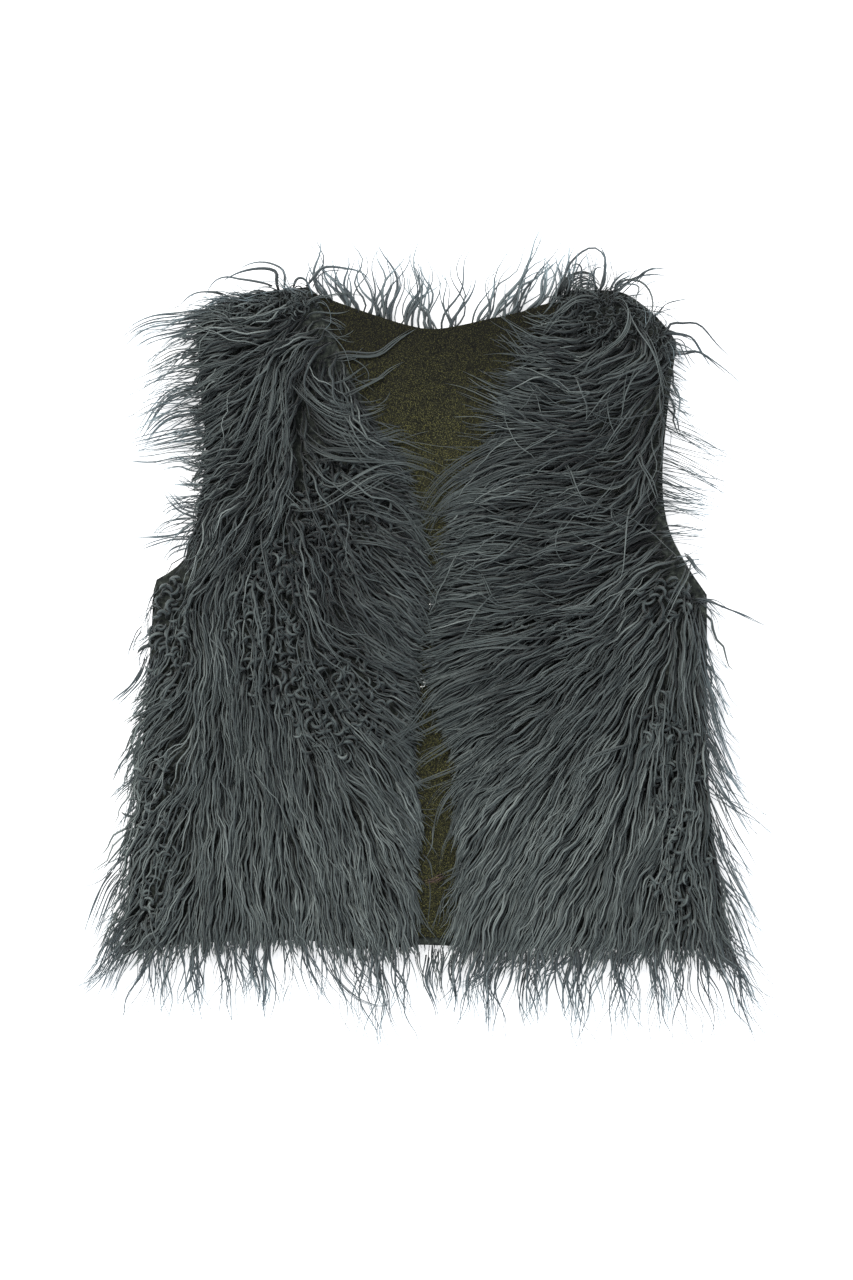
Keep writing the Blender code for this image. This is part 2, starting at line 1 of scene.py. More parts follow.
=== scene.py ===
# %% [markdown]
# # A faux fur vest, laid flat
#
# The real vest is a child's open-front gilet. Its fur is a knitted cloth with a long pile of modacrylic
# fibre, and the fibres have worked themselves into soft wavy locks that lie the way the cloth was brushed.
# The back is lined with a dark jersey that has fine gold flecks. Two wire hooks close the front.
#
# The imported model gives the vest's place and size. Here every cloth gets its real thickness and finish, and
# the pile is grown on it, lock by lock. All lengths are in metres, and +Z is up.

import math

import bpy
import numpy as np
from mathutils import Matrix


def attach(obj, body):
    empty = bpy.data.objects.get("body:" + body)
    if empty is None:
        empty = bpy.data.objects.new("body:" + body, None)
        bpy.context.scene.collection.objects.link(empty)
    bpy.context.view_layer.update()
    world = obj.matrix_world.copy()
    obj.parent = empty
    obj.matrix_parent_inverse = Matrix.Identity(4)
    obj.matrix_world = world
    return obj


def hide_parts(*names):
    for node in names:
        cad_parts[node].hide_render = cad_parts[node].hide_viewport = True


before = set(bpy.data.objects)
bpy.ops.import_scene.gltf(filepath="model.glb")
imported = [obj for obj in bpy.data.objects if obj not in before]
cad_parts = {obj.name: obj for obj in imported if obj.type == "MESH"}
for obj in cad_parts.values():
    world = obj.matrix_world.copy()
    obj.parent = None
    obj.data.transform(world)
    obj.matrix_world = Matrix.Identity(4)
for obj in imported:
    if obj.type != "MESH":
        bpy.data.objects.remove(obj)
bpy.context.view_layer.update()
bpy.ops.object.select_all(action="DESELECT")

# %% [markdown]
# ## The vest's own measures
#
# A maker works from a paper pattern and a list of thicknesses. These are the same: the heights of the
# layers from the table up, and the cut edges of each panel as a few points that a smooth curve is led
# through. The points are measured from the middle of the hem, and LAY moves them to where the vest lies.

# %% Heights of the layers
LAY = np.array([0.0052, -0.1964])
BACK_TOP = 0.0080
LINING_BOTTOM = 0.0083
LINING_TOP = 0.0093
FRONT_BOTTOM = 0.0096
BACKING_THICK = 0.0012
BACKING_TOP = FRONT_BOTTOM + BACKING_THICK
EDGE_PILE = 0.0034
FULL_PILE = 0.0125
PILE_RISE = 0.020
print("Pile starts", BACKING_TOP * 1000, "mm above the table")

# %% Cut edges of the panels, in metres from the middle of the hem
LEFT_SIDE = (
    (-0.19, 0.0), (-0.188, 0.03), (-0.182, 0.092), (-0.1765, 0.154), (-0.1735, 0.191), (-0.1715, 0.229),
)
LEFT_ARMHOLE = (
    (-0.1715, 0.229), (-0.1605, 0.2355), (-0.151, 0.245), (-0.143, 0.278), (-0.1395, 0.312),
    (-0.1425, 0.346), (-0.1455, 0.389),
)
LEFT_SHOULDER = ((-0.1455, 0.389), (-0.132, 0.4005), (-0.109, 0.4075), (-0.076, 0.4115))
LEFT_FRONT_EDGE = (
    (-0.0095, 0.002), (-0.008, 0.042), (-0.0062, 0.08), (-0.009, 0.117), (-0.0066, 0.166), (-0.003, 0.216),
    (-0.0048, 0.253), (-0.012, 0.284), (-0.026, 0.315), (-0.043, 0.343), (-0.056, 0.371), (-0.066, 0.396),
    (-0.076, 0.4115),
)
RIGHT_SIDE = (
    (0.186, -0.002), (0.1812, 0.03), (0.1742, 0.086), (0.1714, 0.129), (0.1716, 0.188), (0.1715, 0.2205),
)
RIGHT_ARMHOLE = (
    (0.1715, 0.2205), (0.159, 0.239), (0.1475, 0.263), (0.144, 0.293), (0.1475, 0.337), (0.153, 0.377),
)
RIGHT_SHOULDER = ((0.153, 0.377), (0.1445, 0.3885), (0.131, 0.401), (0.117, 0.4085), (0.084, 0.4095))
RIGHT_FRONT_EDGE = (
    (0.018, 0.001), (0.0172, 0.048), (0.0165, 0.092), (0.013, 0.129), (0.002, 0.166), (0.0034, 0.216),
    (0.0105, 0.253), (0.0223, 0.284), (0.0372, 0.315), (0.0502, 0.343), (0.0626, 0.371), (0.075, 0.3925),
    (0.084, 0.4095),
)
LEFT_HEM = (
    (-0.19, 0.0), (-0.16, 0.003), (-0.12, 0.0055), (-0.075, 0.006), (-0.05, 0.001), (-0.0095, 0.002),
)
RIGHT_HEM = ((0.186, -0.002), (0.155, 0.002), (0.1, 0.0018), (0.018, 0.001))
BACK_NECK = (
    (-0.073, 0.408), (-0.046, 0.398), (-0.0105, 0.387), (0.005, 0.3856), (0.035, 0.3915), (0.064, 0.3985),
    (0.081, 0.407),
)
BACK_INSET = 0.0022
LINING_INSET = 0.0034


def smooth_line(points, per_span=8):
    """A smooth curve through the points, as an array of (x, y) rows."""
    places = np.array(points, float)
    spans = np.linalg.norm(np.diff(places, axis=0), axis=1)
    before = np.vstack([places[:1], places[:-1]])
    after = np.vstack([places[1:], places[-1:]])
    reach = np.concatenate([[0], spans]) + np.concatenate([spans, [0]])
    tangents = (after - before) / reach[:, None]
    u = (np.arange(per_span) / per_span)[:, None]
    line = [places[i] * (2 * u**3 - 3 * u**2 + 1) + tangents[i] * spans[i] * (u**3 - 2 * u**2 + u)
            + places[i + 1] * (3 * u**2 - 2 * u**3) + tangents[i + 1] * spans[i] * (u**3 - u**2)
            for i in range(len(spans))]
    return np.vstack(line + [places[-1:]])


def at_shares(line, shares):
    """The places these shares of the way along a line, and the line's direction at each."""
    run = np.diff(line, axis=0)
    along = np.concatenate([[0], np.cumsum(np.linalg.norm(run, axis=1))])
    wanted = np.clip(shares, 0, 1) * along[-1]
    places = np.column_stack([np.interp(wanted, along, line[:, axis]) for axis in (0, 1)])
    span = np.clip(np.searchsorted(along, wanted, side="right") - 1, 0, len(run) - 1)
    return places, run[span] / np.linalg.norm(run[span], axis=1)[:, None]


def four_edges(side, armhole, shoulder, front_edge, hem):
    """A front's edges as smooth lines."""
    return {"outer": np.vstack([smooth_line(side)[:-1], smooth_line(armhole)]), "top": smooth_line(shoulder),
            "inner": smooth_line(front_edge), "hem": smooth_line(hem)}


LEFT_RIM = four_edges(LEFT_SIDE, LEFT_ARMHOLE, LEFT_SHOULDER, LEFT_FRONT_EDGE, LEFT_HEM)
RIGHT_RIM = four_edges(RIGHT_SIDE, RIGHT_ARMHOLE, RIGHT_SHOULDER, RIGHT_FRONT_EDGE, RIGHT_HEM)


def closed_ring(rim):
    """A front's four edges as one closed outline."""
    return np.vstack([rim["outer"][:-1], rim["top"][:-1], rim["inner"][:0:-1], rim["hem"][:0:-1]])


LEFT_RING, RIGHT_RING = closed_ring(LEFT_RIM), closed_ring(RIGHT_RIM)
VEST_RING = np.vstack([LEFT_RIM["outer"][::-1][:-1], RIGHT_RIM["outer"][:-1], RIGHT_RIM["top"][:-1],
                       smooth_line(BACK_NECK)[::-1], LEFT_RIM["top"][::-1][:-1]])
print("Outline points: left", len(LEFT_RING), "right", len(RIGHT_RING), "whole vest", len(VEST_RING))

# %% [markdown]
# ## Finishes
#
# Each material is named for what the real one is. Colours are written as the hex values that a painter
# would pick from a screen, and one function turns them into the linear values that Blender works in.
# Another adds a node with its settings and its links, so that a material reads like a list of what it is
# made of.

# %% Two helpers for materials
def linear(hex_colour, alpha=1.0):
    """An sRGB hex colour such as "5a6162" as linear red, green, blue and alpha."""
    parts = [int(hex_colour[i:i + 2], 16) / 255 for i in (0, 2, 4)]
    return (*[p / 12.92 if p <= 0.04045 else ((p + 0.055) / 1.055) ** 2.4 for p in parts], alpha)


def node(material, kind, settings=None, inputs=None):
    """Adds a node. An input is given a value, or another node's output, which is then linked to it."""
    made = material.node_tree.nodes.new("ShaderNode" + kind)
    for name, value in (settings or {}).items():
        if name == "stops":
            ramp = made.color_ramp
            while len(ramp.elements) < len(value):
                ramp.elements.new(0.5)
            for stop, (place, colour) in zip(ramp.elements, value):
                stop.position, stop.color = place, colour
        else:
            setattr(made, name, value)
    for name, value in (inputs or {}).items():
        if isinstance(value, bpy.types.NodeSocket):
            material.node_tree.links.new(value, made.inputs[name])
        else:
            made.inputs[name].default_value = value
    return made


def new_material(name):
    """An empty material with just its output."""
    made = bpy.data.materials.new(name)
    made.use_nodes = True
    made.node_tree.nodes.clear()
    return made


def finish_material(material, shader):
    """Links the last shader to the output."""
    node(material, "OutputMaterial", inputs={"Surface": shader.outputs[0]})
    print("Finish:", material.name)
    return material


# %% [markdown]
# ### Modacrylic fur
#
# A lock is a bundle of hundreds of dyed fibres. It is dark at its root, where little light gets in, and
# palest on its back. Each lock has its own column of the piece's UV map, and V runs from its root to its
# tip, so one material can give every lock its own grey without knowing where it lies. Along V the grey is
# painted darker at the root as painted shade, and lighter towards the tip as a painted highlight. The
# fibres themselves are 0.05 mm thick, too fine to show, so the fine streaks along a lock are drawn several
# times as coarse.

# %% Fur
def fur_finish(name, darkest, dark, middle, light, roughness, painted_light_along_lock):
    fur = new_material(name)
    uv = node(fur, "UVMap", {"uv_map": "OFBake"})
    split = node(fur, "SeparateXYZ", inputs={0: uv.outputs["UV"]})
    greys = (0.0, linear(darkest)), (0.3, linear(dark)), (0.65, linear(middle)), (1.0, linear(light))
    tone = node(fur, "ValToRGB", {"stops": greys}, {0: split.outputs["X"]})
    along = node(fur, "ValToRGB", {"stops": painted_light_along_lock}, {0: split.outputs["Y"]})
    # A side of a lock is 0.004 of the map wide, so this gives it two or three streaks
    streak_place = node(fur, "Mapping", inputs={"Vector": uv.outputs["UV"], "Scale": (640, 5, 1)})
    streaks = node(fur, "TexNoise", inputs={"Vector": streak_place.outputs[0], "Scale": 1.0, "Detail": 2.0})
    fibre = node(fur, "ValToRGB", {"stops": ((0.3, (0.80, 0.80, 0.80, 1)), (0.7, (1.12, 1.12, 1.12, 1)))},
                 {0: streaks.outputs["Fac"]})
    shaded = node(fur, "MixRGB", {"blend_type": "MULTIPLY"},
                  {"Fac": 1.0, "Color1": tone.outputs[0], "Color2": along.outputs[0]})
    coloured = node(fur, "MixRGB", {"blend_type": "MULTIPLY"},
                    {"Fac": 1.0, "Color1": shaded.outputs[0], "Color2": fibre.outputs[0]})
    bump = node(fur, "Bump", inputs={"Height": streaks.outputs["Fac"], "Strength": 0.25, "Distance": 0.0002})
    shader = node(fur, "BsdfPrincipled", inputs={
        "Base Color": coloured.outputs[0], "Roughness": roughness, "Specular IOR Level": 0.28,
        "Sheen Weight": 0.12, "Sheen Roughness": 0.4, "Normal": bump.outputs[0]})
    return finish_material(fur, shader)


# The last ramp is painted along each lock: painted shade at the root, and a painted highlight past the dye's
# grey towards the tip
FUR = fur_finish("modacrylic_fur_charcoal", "1e2425", "3f4747", "616a68", "8f9894", 0.60, (
    (0.0, (0.22, 0.22, 0.23, 1)), (0.18, (0.55, 0.55, 0.55, 1)), (0.42, (1, 1, 1, 1)),
    (1.0, (1.10, 1.12, 1.13, 1))))
# Single fibres let light through, so the frayed ends are painted paler towards their tips, up to several
# times the dye's grey, as painted light for what shines through them; their roots are painted darker as
# painted shade
WISP = fur_finish("modacrylic_fur_fine_ends", "272d2e", "474f51", "687171", "8d9696", 0.55, (
    (0.0, (0.4, 0.4, 0.4, 1)), (0.15, (0.85, 0.85, 0.85, 1)), (0.55, (1.38, 1.44, 1.50, 1)),
    (0.85, (2.6, 2.8, 3.0, 1)), (1.0, (4.3, 4.7, 5.1, 1))))
# A few fibres that came from a batch dyed red-brown, painted a little darker at the root as painted shade
# and a little lighter at the tip as a painted highlight
REDDISH = fur_finish("modacrylic_fur_reddish", "33292a", "53413c", "725850", "927468", 0.60, (
    (0.0, (0.8, 0.8, 0.8, 1)), (1.0, (1.1, 1.1, 1.1, 1))))

# %% [markdown]
# ### Knitted backing, lining and wire
#
# The backing is a warp knit of polyester yarn, dyed with the pile. Short broken fibres cling to it, so
# between the locks it looks like felt. The lining is a jersey knitted with a fine metallised thread: dark
# olive, with specks of gold where the thread comes to the surface.

# %% Knitted backing
BACKING = new_material("polyester_knit_backing")
place = node(BACKING, "TexCoord")
# Stitches of the knit are 1.1 mm apart, and the fuzz on it clots every 2 to 3 mm
stitch = node(BACKING, "TexVoronoi", inputs={"Vector": place.outputs["Object"], "Scale": 900.0})
fuzz = node(BACKING, "TexNoise", inputs={"Vector": place.outputs["Object"], "Scale": 420.0, "Detail": 4.0})
felt = node(BACKING, "ValToRGB", {"stops": ((0.35, linear("171b1c")), (0.55, linear("30352f")),
                                            (0.75, linear("555a54")))}, {0: fuzz.outputs["Fac"]})
uneven = node(BACKING, "Bump", inputs={"Height": stitch.outputs["Distance"], "Strength": 0.5,
                                       "Distance": 0.0004})
uneven = node(BACKING, "Bump", inputs={"Height": fuzz.outputs["Fac"], "Strength": 0.6, "Distance": 0.0006,
                                       "Normal": uneven.outputs[0]})
finish_material(BACKING, node(BACKING, "BsdfPrincipled", inputs={
    "Base Color": felt.outputs[0], "Roughness": 0.85, "Specular IOR Level": 0.2, "Sheen Weight": 0.25,
    "Sheen Roughness": 0.5, "Normal": uneven.outputs[0]}))

# %% Lining jersey with gold flecks
LINING = new_material("jersey_lining_gold_fleck")
place = node(LINING, "TexCoord")
# The jersey's stitches are 0.9 mm apart, and its dye is cloudy over 15 to 20 mm
cloudy = node(LINING, "TexNoise", inputs={"Vector": place.outputs["Object"], "Scale": 60.0, "Detail": 3.0})
grain = node(LINING, "TexNoise", inputs={"Vector": place.outputs["Object"], "Scale": 1150.0, "Detail": 3.0})
olive = node(LINING, "ValToRGB", {"stops": ((0.38, linear("090a05")), (0.50, linear("17180e")),
                                            (0.64, linear("313120")))}, {0: grain.outputs["Fac"]})
patchy = node(LINING, "ValToRGB", {"stops": ((0.3, (0.80, 0.80, 0.80, 1)), (0.7, (1.20, 1.19, 1.14, 1)))},
              {0: cloudy.outputs["Fac"]})
dyed = node(LINING, "MixRGB", {"blend_type": "MULTIPLY"},
            {"Fac": 1.0, "Color1": olive.outputs[0], "Color2": patchy.outputs[0]})
# Painted light and shade: the jersey is painted darker towards the neck, where less light reaches under the
# shoulders, and lighter than its dye over the lower part
height = node(LINING, "SeparateXYZ", inputs={0: place.outputs["Object"]})
painted_light_and_shade_by_height = node(LINING, "MapRange", inputs={0: height.outputs["Y"], 1: 0.110, 2: 0.188, 3: 1.38, 4: 0.50})
# Flecks of the metallised thread, 0.2 mm across and 0.6 mm apart
fleck = node(LINING, "TexVoronoi", inputs={"Vector": place.outputs["Object"], "Scale": 1750.0})
picked = node(LINING, "ValToRGB", {"stops": ((0.06, (1, 1, 1, 1)), (0.25, (0, 0, 0, 1)))},
              {0: fleck.outputs["Distance"]})
gilded = node(LINING, "MixRGB", inputs={"Fac": picked.outputs[0], "Color1": dyed.outputs[0],
                                        "Color2": linear("b9b566")})
seen = node(LINING, "MixRGB", {"blend_type": "MULTIPLY"},
            {"Fac": 1.0, "Color1": gilded.outputs[0], "Color2": painted_light_and_shade_by_height.outputs[0]})
raised = node(LINING, "Bump", inputs={"Height": grain.outputs["Fac"], "Strength": 0.4, "Distance": 0.0003})
finish_material(LINING, node(LINING, "BsdfPrincipled", inputs={
    "Base Color": seen.outputs[0], "Roughness": 0.6, "Specular IOR Level": 0.12,
    "Normal": raised.outputs[0]}))

# %% Nickel-plated wire
WIRE = new_material("nickel_plated_wire")
place = node(WIRE, "TexCoord")
wear = node(WIRE, "TexNoise", inputs={"Vector": place.outputs["Object"], "Scale": 700.0, "Detail": 3.0})
plating = node(WIRE, "ValToRGB", {"stops": ((0.3, linear("b9bab6")), (0.7, linear("dcdcd8")))},
               {0: wear.outputs["Fac"]})
gloss = node(WIRE, "MapRange", inputs={0: wear.outputs["Fac"], 3: 0.18, 4: 0.38})
finish_material(WIRE, node(WIRE, "BsdfPrincipled", inputs={
    "Base Color": plating.outputs[0], "Metallic": 1.0, "Roughness": gloss.outputs[0]}))

# %% [markdown]
# ## Making a mesh from arrays
#
# Thousands of locks are far too many for operators, so their points and faces are worked out as arrays and
# handed to Blender all at once. The same helper makes the cloths.

# %% A mesh piece from arrays
def piece_from(name, places, corners, sizes, material, uv=None):
    """places is (n, 3), corners has the faces' point numbers in a row, and sizes how many each face has."""
    mesh = bpy.data.meshes.new(name)
    mesh.vertices.add(len(places))
    mesh.vertices.foreach_set("co", np.asarray(places, np.float32).ravel())
    mesh.loops.add(len(corners))
    mesh.loops.foreach_set("vertex_index", np.asarray(corners, np.int32))
    mesh.polygons.add(len(sizes))
    mesh.polygons.foreach_set("loop_start", np.concatenate([[0], np.cumsum(sizes)[:-1]]).astype(np.int32))
    mesh.update(calc_edges=True)
    if uv is not None:
        mesh.uv_layers.new(name="OFBake").data.foreach_set("uv", np.asarray(uv, np.float32).ravel())
    mesh.materials.append(material)
    mesh.shade_smooth()
    made = bpy.data.objects.new(name, mesh)
    bpy.context.scene.collection.objects.link(made)
    triangles = int((np.asarray(sizes) - 2).sum())
    print(f"{name}: {triangles} triangles")
    return made


# %% [markdown]
# ## The cloths
#
# Each panel is a thin closed shell. Its grid of points is a Coons patch, which fills the space between four
# edge curves the way a net is stretched in a frame, so the grid follows the cut edges without a single
# trimmed face. The fronts' backing is 1.2 mm thick. The back hides its backing under the lining, and the
# lining is 1 mm thick with its edges turned in.

# %% A patch between four edges, and the shell made from it
def patch(outer, inner, hem, top, across, up):
    """A grid of (x, y), rows from the hem up and columns from the outer edge to the inner."""
    t = np.linspace(0, 1, up + 1)
    s = np.linspace(0, 1, across + 1)
    left, right = at_shares(outer, t)[0][:, None], at_shares(inner, t)[0][:, None]
    low, high = at_shares(hem, s)[0][None], at_shares(top, s)[0][None]
    t, s = t[:, None, None], s[None, :, None]
    corners = (outer[0] * (1 - s) + inner[0] * s) * (1 - t) + (outer[-1] * (1 - s) + inner[-1] * s) * t
    return low * (1 - t) + high * t + left * (1 - s) + right * s - corners


SHARP_EDGE = 50  # degrees between two faces, past which their edge is shaded sharp


def shell(name, grid, low, high, material):
    """A closed shell over a grid: low and high are the heights of its two faces, numbers or arrays."""
    up, across = grid.shape[0] - 1, grid.shape[1] - 1
    count = (up + 1) * (across + 1)
    flat = grid.reshape(-1, 2) + LAY
    places = np.vstack([np.column_stack([flat, np.broadcast_to(level, grid.shape[:2]).ravel()])
                        for level in (low, high)])
    number = np.arange(count).reshape(up + 1, across + 1)
    a, b, c, d = number[:-1, :-1], number[:-1, 1:], number[1:, 1:], number[1:, :-1]
    top = np.stack([a, b, c, d], -1).reshape(-1, 4) + count
    under = np.stack([a, d, c, b], -1).reshape(-1, 4)
    rim = np.concatenate([number[0, :-1], number[:-1, -1], number[-1, :0:-1], number[:0:-1, 0]])
    after = np.roll(rim, -1)
    wall = np.stack([rim, after, after + count, rim + count], -1)
    faces = np.vstack([top, under, wall])
    # A grid that runs the other way round would give faces that look inwards, so they are turned over
    if np.cross(grid[-1, 0] - grid[0, 0], grid[0, -1] - grid[0, 0]) > 0:
        faces = faces[:, ::-1]
    made = piece_from(name, places, faces.ravel(), np.full(len(faces), 4), material)
    made.data.set_sharp_from_angle(angle=math.radians(SHARP_EDGE))
    return made


def outline_area(ring):
    """The area within a closed outline."""
    x, y = ring[:, 0], ring[:, 1]
    return abs(0.5 * np.sum(x * np.roll(y, -1) - y * np.roll(x, -1)))


# %% The two fronts' backing
FRONT_SPANS = 24, 52  # across and up


def front_backing(name, rim):
    grid = patch(rim["outer"], rim["inner"], rim["hem"], rim["top"], *FRONT_SPANS)
    return shell(name, grid, FRONT_BOTTOM, BACKING_TOP, BACKING)


cloth_left = front_backing("cloth_front_left", LEFT_RIM)
cloth_right = front_backing("cloth_front_right", RIGHT_RIM)

# %% [markdown]
# ### Back and lining
#
# The back is cut like the two fronts together, with its own neck curve. Where nothing lies on the lining it
# isn't quite flat: a few shallow troughs run down from the neck, where the cloth is eased to the fur.

# %% Back and lining
BACK_THICK = 0.0016
BACK_SPANS = 40, 44
LINING_SPANS = 50, 56
BACK_HEM_RISE = -0.0010
LINING_HEM_RISE = 0.0027
NECK_HALF_WIDTH = 0.0735
NECK_FROM = 0.300
HEM_POINTS = 40
SHOULDER_LEFT_OUT = 4  # points of each shoulder's line, where the neck's curve takes over
BACK_TOP_EDGE = np.vstack([smooth_line(LEFT_SHOULDER)[:-SHOULDER_LEFT_OUT], smooth_line(BACK_NECK),
                           smooth_line(RIGHT_SHOULDER)[::-1][SHOULDER_LEFT_OUT:]])


def hem_line(above):
    """A line from side to side that keeps this far above the fronts' hems."""
    hems = np.vstack([LEFT_RIM["hem"], RIGHT_RIM["hem"][::-1]])
    x = np.linspace(LEFT_SIDE[0][0], RIGHT_SIDE[0][0], HEM_POINTS)
    return np.column_stack([x, np.interp(x, hems[:, 0], hems[:, 1]) + above])


BACK_HEM, LINING_HEM = hem_line(BACK_HEM_RISE), hem_line(LINING_HEM_RISE)


def moved_in(parts, distance):
    """Four edges of a closed outline, counter-clockwise, moved inwards; the neck keeps its place."""
    ring = np.vstack([part[:-1] for part in parts])
    before = ring - np.roll(ring, 1, axis=0)
    after = np.roll(ring, -1, axis=0) - ring
    before /= np.linalg.norm(before, axis=1)[:, None]
    after /= np.linalg.norm(after, axis=1)[:, None]
    mitre = np.column_stack([-before[:, 1] - after[:, 1], before[:, 0] + after[:, 0]])
    mitre /= np.maximum(1 + (before * after).sum(1), 0.5)[:, None]
    mitre[(abs(ring[:, 0]) < NECK_HALF_WIDTH) & (ring[:, 1] > NECK_FROM)] = 0
    ring = ring + mitre * distance
    starts = np.cumsum([0] + [len(part) - 1 for part in parts])
    return [np.vstack([ring[a:b], ring[b % len(ring)][None]]) for a, b in zip(starts, starts[1:])]


def back_edges(hem, distance):
    """The back's hem, right edge, top and left edge, as far inside the fronts' edges as asked."""
    return moved_in([hem, RIGHT_RIM["outer"], BACK_TOP_EDGE[::-1], LEFT_RIM["outer"][::-1]], distance)


def back_grid(hem, distance, spans):
    hem, right, top, left = back_edges(hem, distance)
    return patch(left[::-1], right, hem, top[::-1], *spans)


# Each trough: where its middle lies, its direction in degrees, how long and wide it is, and how deep
LINING_TROUGHS = (
    (-0.03, 0.345, 248, 0.05, 0.0045, 0.0007), (0.004, 0.338, 272, 0.07, 0.006, 0.0009),
    (0.03, 0.352, 288, 0.038, 0.004, 0.0006), (-0.006, 0.29, 262, 0.045, 0.005, 0.0006),
    (0.004, 0.095, 268, 0.06, 0.004, 0.0005), (0.008, 0.04, 280, 0.035, 0.0035, 0.0006),
)
PRESSED = 0.6  # the fur's weight flattens the troughs to this share of their depth


def trough_depth(x, y):
    """How far the lining sinks at each place."""
    depth = np.zeros_like(x)
    for middle_x, middle_y, angle, length, width, deep in LINING_TROUGHS:
        ahead = np.array([math.cos(math.radians(angle)), math.sin(math.radians(angle))])
        down = ((x - middle_x) * ahead[0] + (y - middle_y) * ahead[1]) / (length / 2)
        side = ((x - middle_x) * -ahead[1] + (y - middle_y) * ahead[0]) / width
        depth += deep * np.exp(-down**2 - side**2)
    return depth


cloth_back = shell("cloth_back", back_grid(BACK_HEM, BACK_INSET, BACK_SPANS), BACK_TOP - BACK_THICK, BACK_TOP,
                   BACKING)
grid = back_grid(LINING_HEM, LINING_INSET, LINING_SPANS)
sink = trough_depth(grid[..., 0], grid[..., 1])
lining = shell("lining_back", grid, LINING_BOTTOM, LINING_TOP - PRESSED * sink, LINING)
BACK_AREA = outline_area(np.vstack(back_edges(BACK_HEM, BACK_INSET)))
print("Back panel:", round(BACK_AREA, 4), "square metres")

# %% [markdown]
# ## Hooks and eyes
#
# Each closure is a bent wire hook and a loop for it, the kind that is sold by the card. A curve with a
# round bevel is the shortest way to a wire. It becomes a mesh, so that it carries its place in its points.

# %% Wires
WIRE_RADIUS = 0.0005
BAR_HEIGHT = FRONT_BOTTOM + 0.0023
WIRE_START = 0.0004  # how far past the cloth's edge a wire comes out
EYE_REACH = 0.0031  # how far past the edge its bar lies
EYE_HALF_WIDTH = 0.0026
EYE_CORNER = 0.0010
EYE_BAR = 0.0022, 0.0012  # from the bar's middle: where its corner ends, and where it runs straight
HOOK_SHANK = (0.0004, 0.0002), (0.0012, 0.0010)  # how far past the cloth's edge, and above the bar
HOOK_BEND = 0.0015, 0.0014  # half the width and half the height of a hook's bend
HOOK_TURNS = np.radians(np.arange(62, 62 + 7 * 36, 36))
CLOSURE_LEVELS = {"upper": 0.2145, "lower": 0.1660}


def wire(name, points):
    """A round wire that is led past the points."""
    data = bpy.data.curves.new(name, "CURVE")
    data.dimensions = "3D"
    data.bevel_depth = WIRE_RADIUS
    data.bevel_resolution = 3
    data.use_fill_caps = True
    spline = data.splines.new("NURBS")
    spline.points.add(len(points) - 1)
    for target, (x, y, z) in zip(spline.points, points):
        target.co = (x + LAY[0], y + LAY[1], z, 1.0)
    spline.use_endpoint_u = True
    spline.order_u = 3
    spline.resolution_u = 4
    made = bpy.data.objects.new(name, data)
    bpy.context.scene.collection.objects.link(made)
    bpy.context.view_layer.objects.active = made
    made.select_set(True)
    bpy.ops.object.convert(target="MESH")
    made = bpy.context.view_layer.objects.active
    made.data.materials.clear()
    made.data.materials.append(WIRE)
    made.data.shade_smooth()
    bpy.ops.object.select_all(action="DESELECT")
    return made


def edge_x(points, y):
    """Where a front's edge lies at this height up the vest."""
    line = smooth_line(points, 40)
    return line[np.argmin(abs(line[:, 1] - y)), 0]


closures = []
for level, y in CLOSURE_LEVELS.items():
    left_x, right_x = edge_x(LEFT_FRONT_EDGE, y), edge_x(RIGHT_FRONT_EDGE, y)
    bar_x = left_x + EYE_REACH
    half = ((left_x + WIRE_START, EYE_HALF_WIDTH), (bar_x - EYE_CORNER, EYE_HALF_WIDTH),
            (bar_x, EYE_BAR[0]), (bar_x, EYE_BAR[1]))
    loop = [(x, y - off, BAR_HEIGHT) for x, off in half] + [(x, y + off, BAR_HEIGHT) for x, off in half[::-1]]
    bend = [(right_x - past, y, BAR_HEIGHT + above) for past, above in HOOK_SHANK]
    for turn in HOOK_TURNS:
        bend.append((bar_x + HOOK_BEND[0] * math.cos(turn), y, BAR_HEIGHT + HOOK_BEND[1] * math.sin(turn)))
    closures.append((wire(f"wire_eye_{level}", loop), f"eye_{level}"))
    closures.append((wire(f"wire_hook_{level}", bend), f"hook_{level}"))
print("Closure wires:", [piece.name for piece, _ in closures])

# %% [markdown]
# ## How the pile lies
#
# Long pile lies the way it was last brushed, and that way changes from place to place. A comb table says
# which way the tips point at a few dozen places of a front, and any other place takes a mean of them,
# weighed by nearness. A lock then grows step by step: each step looks up the combing where it is and adds
# the lock's own wave. That gives fans, partings and swirls that no plain random hair has.

# %% Comb tables
LEFT_COMB = np.array((
    # x, y, the way the tips point in degrees counter-clockwise from +X
    (-0.115, 0.39, 186), (-0.08, 0.385, 215), (-0.125, 0.345, 205), (-0.09, 0.345, 245),
    (-0.062, 0.34, 300), (-0.125, 0.29, 208), (-0.095, 0.29, 252), (-0.06, 0.3, 318), (-0.03, 0.29, 345),
    (-0.11, 0.245, 240), (-0.07, 0.24, 290), (-0.025, 0.245, 328), (-0.152, 0.225, 238),
    (-0.136, 0.198, 278), (-0.114, 0.17, 270), (-0.163, 0.148, 219), (-0.158, 0.132, 222),
    (-0.136, 0.143, 272), (-0.142, 0.115, 266), (-0.114, 0.132, 278), (-0.091, 0.137, 275),
    (-0.07, 0.143, 298), (-0.036, 0.143, 322), (-0.047, 0.187, 323), (-0.036, 0.22, 318),
    (-0.014, 0.176, 338), (-0.081, 0.209, 288), (-0.097, 0.22, 266), (-0.07, 0.109, 286),
    (-0.036, 0.104, 308), (-0.058, 0.081, 288), (-0.125, 0.098, 270), (-0.163, 0.098, 240),
    (-0.17, 0.065, 243), (-0.12, 0.06, 270), (-0.065, 0.05, 280), (-0.015, 0.065, 300),
    (-0.178, 0.015, 236), (-0.12, 0.015, 268), (-0.06, 0.015, 279), (-0.012, 0.015, 288),
))
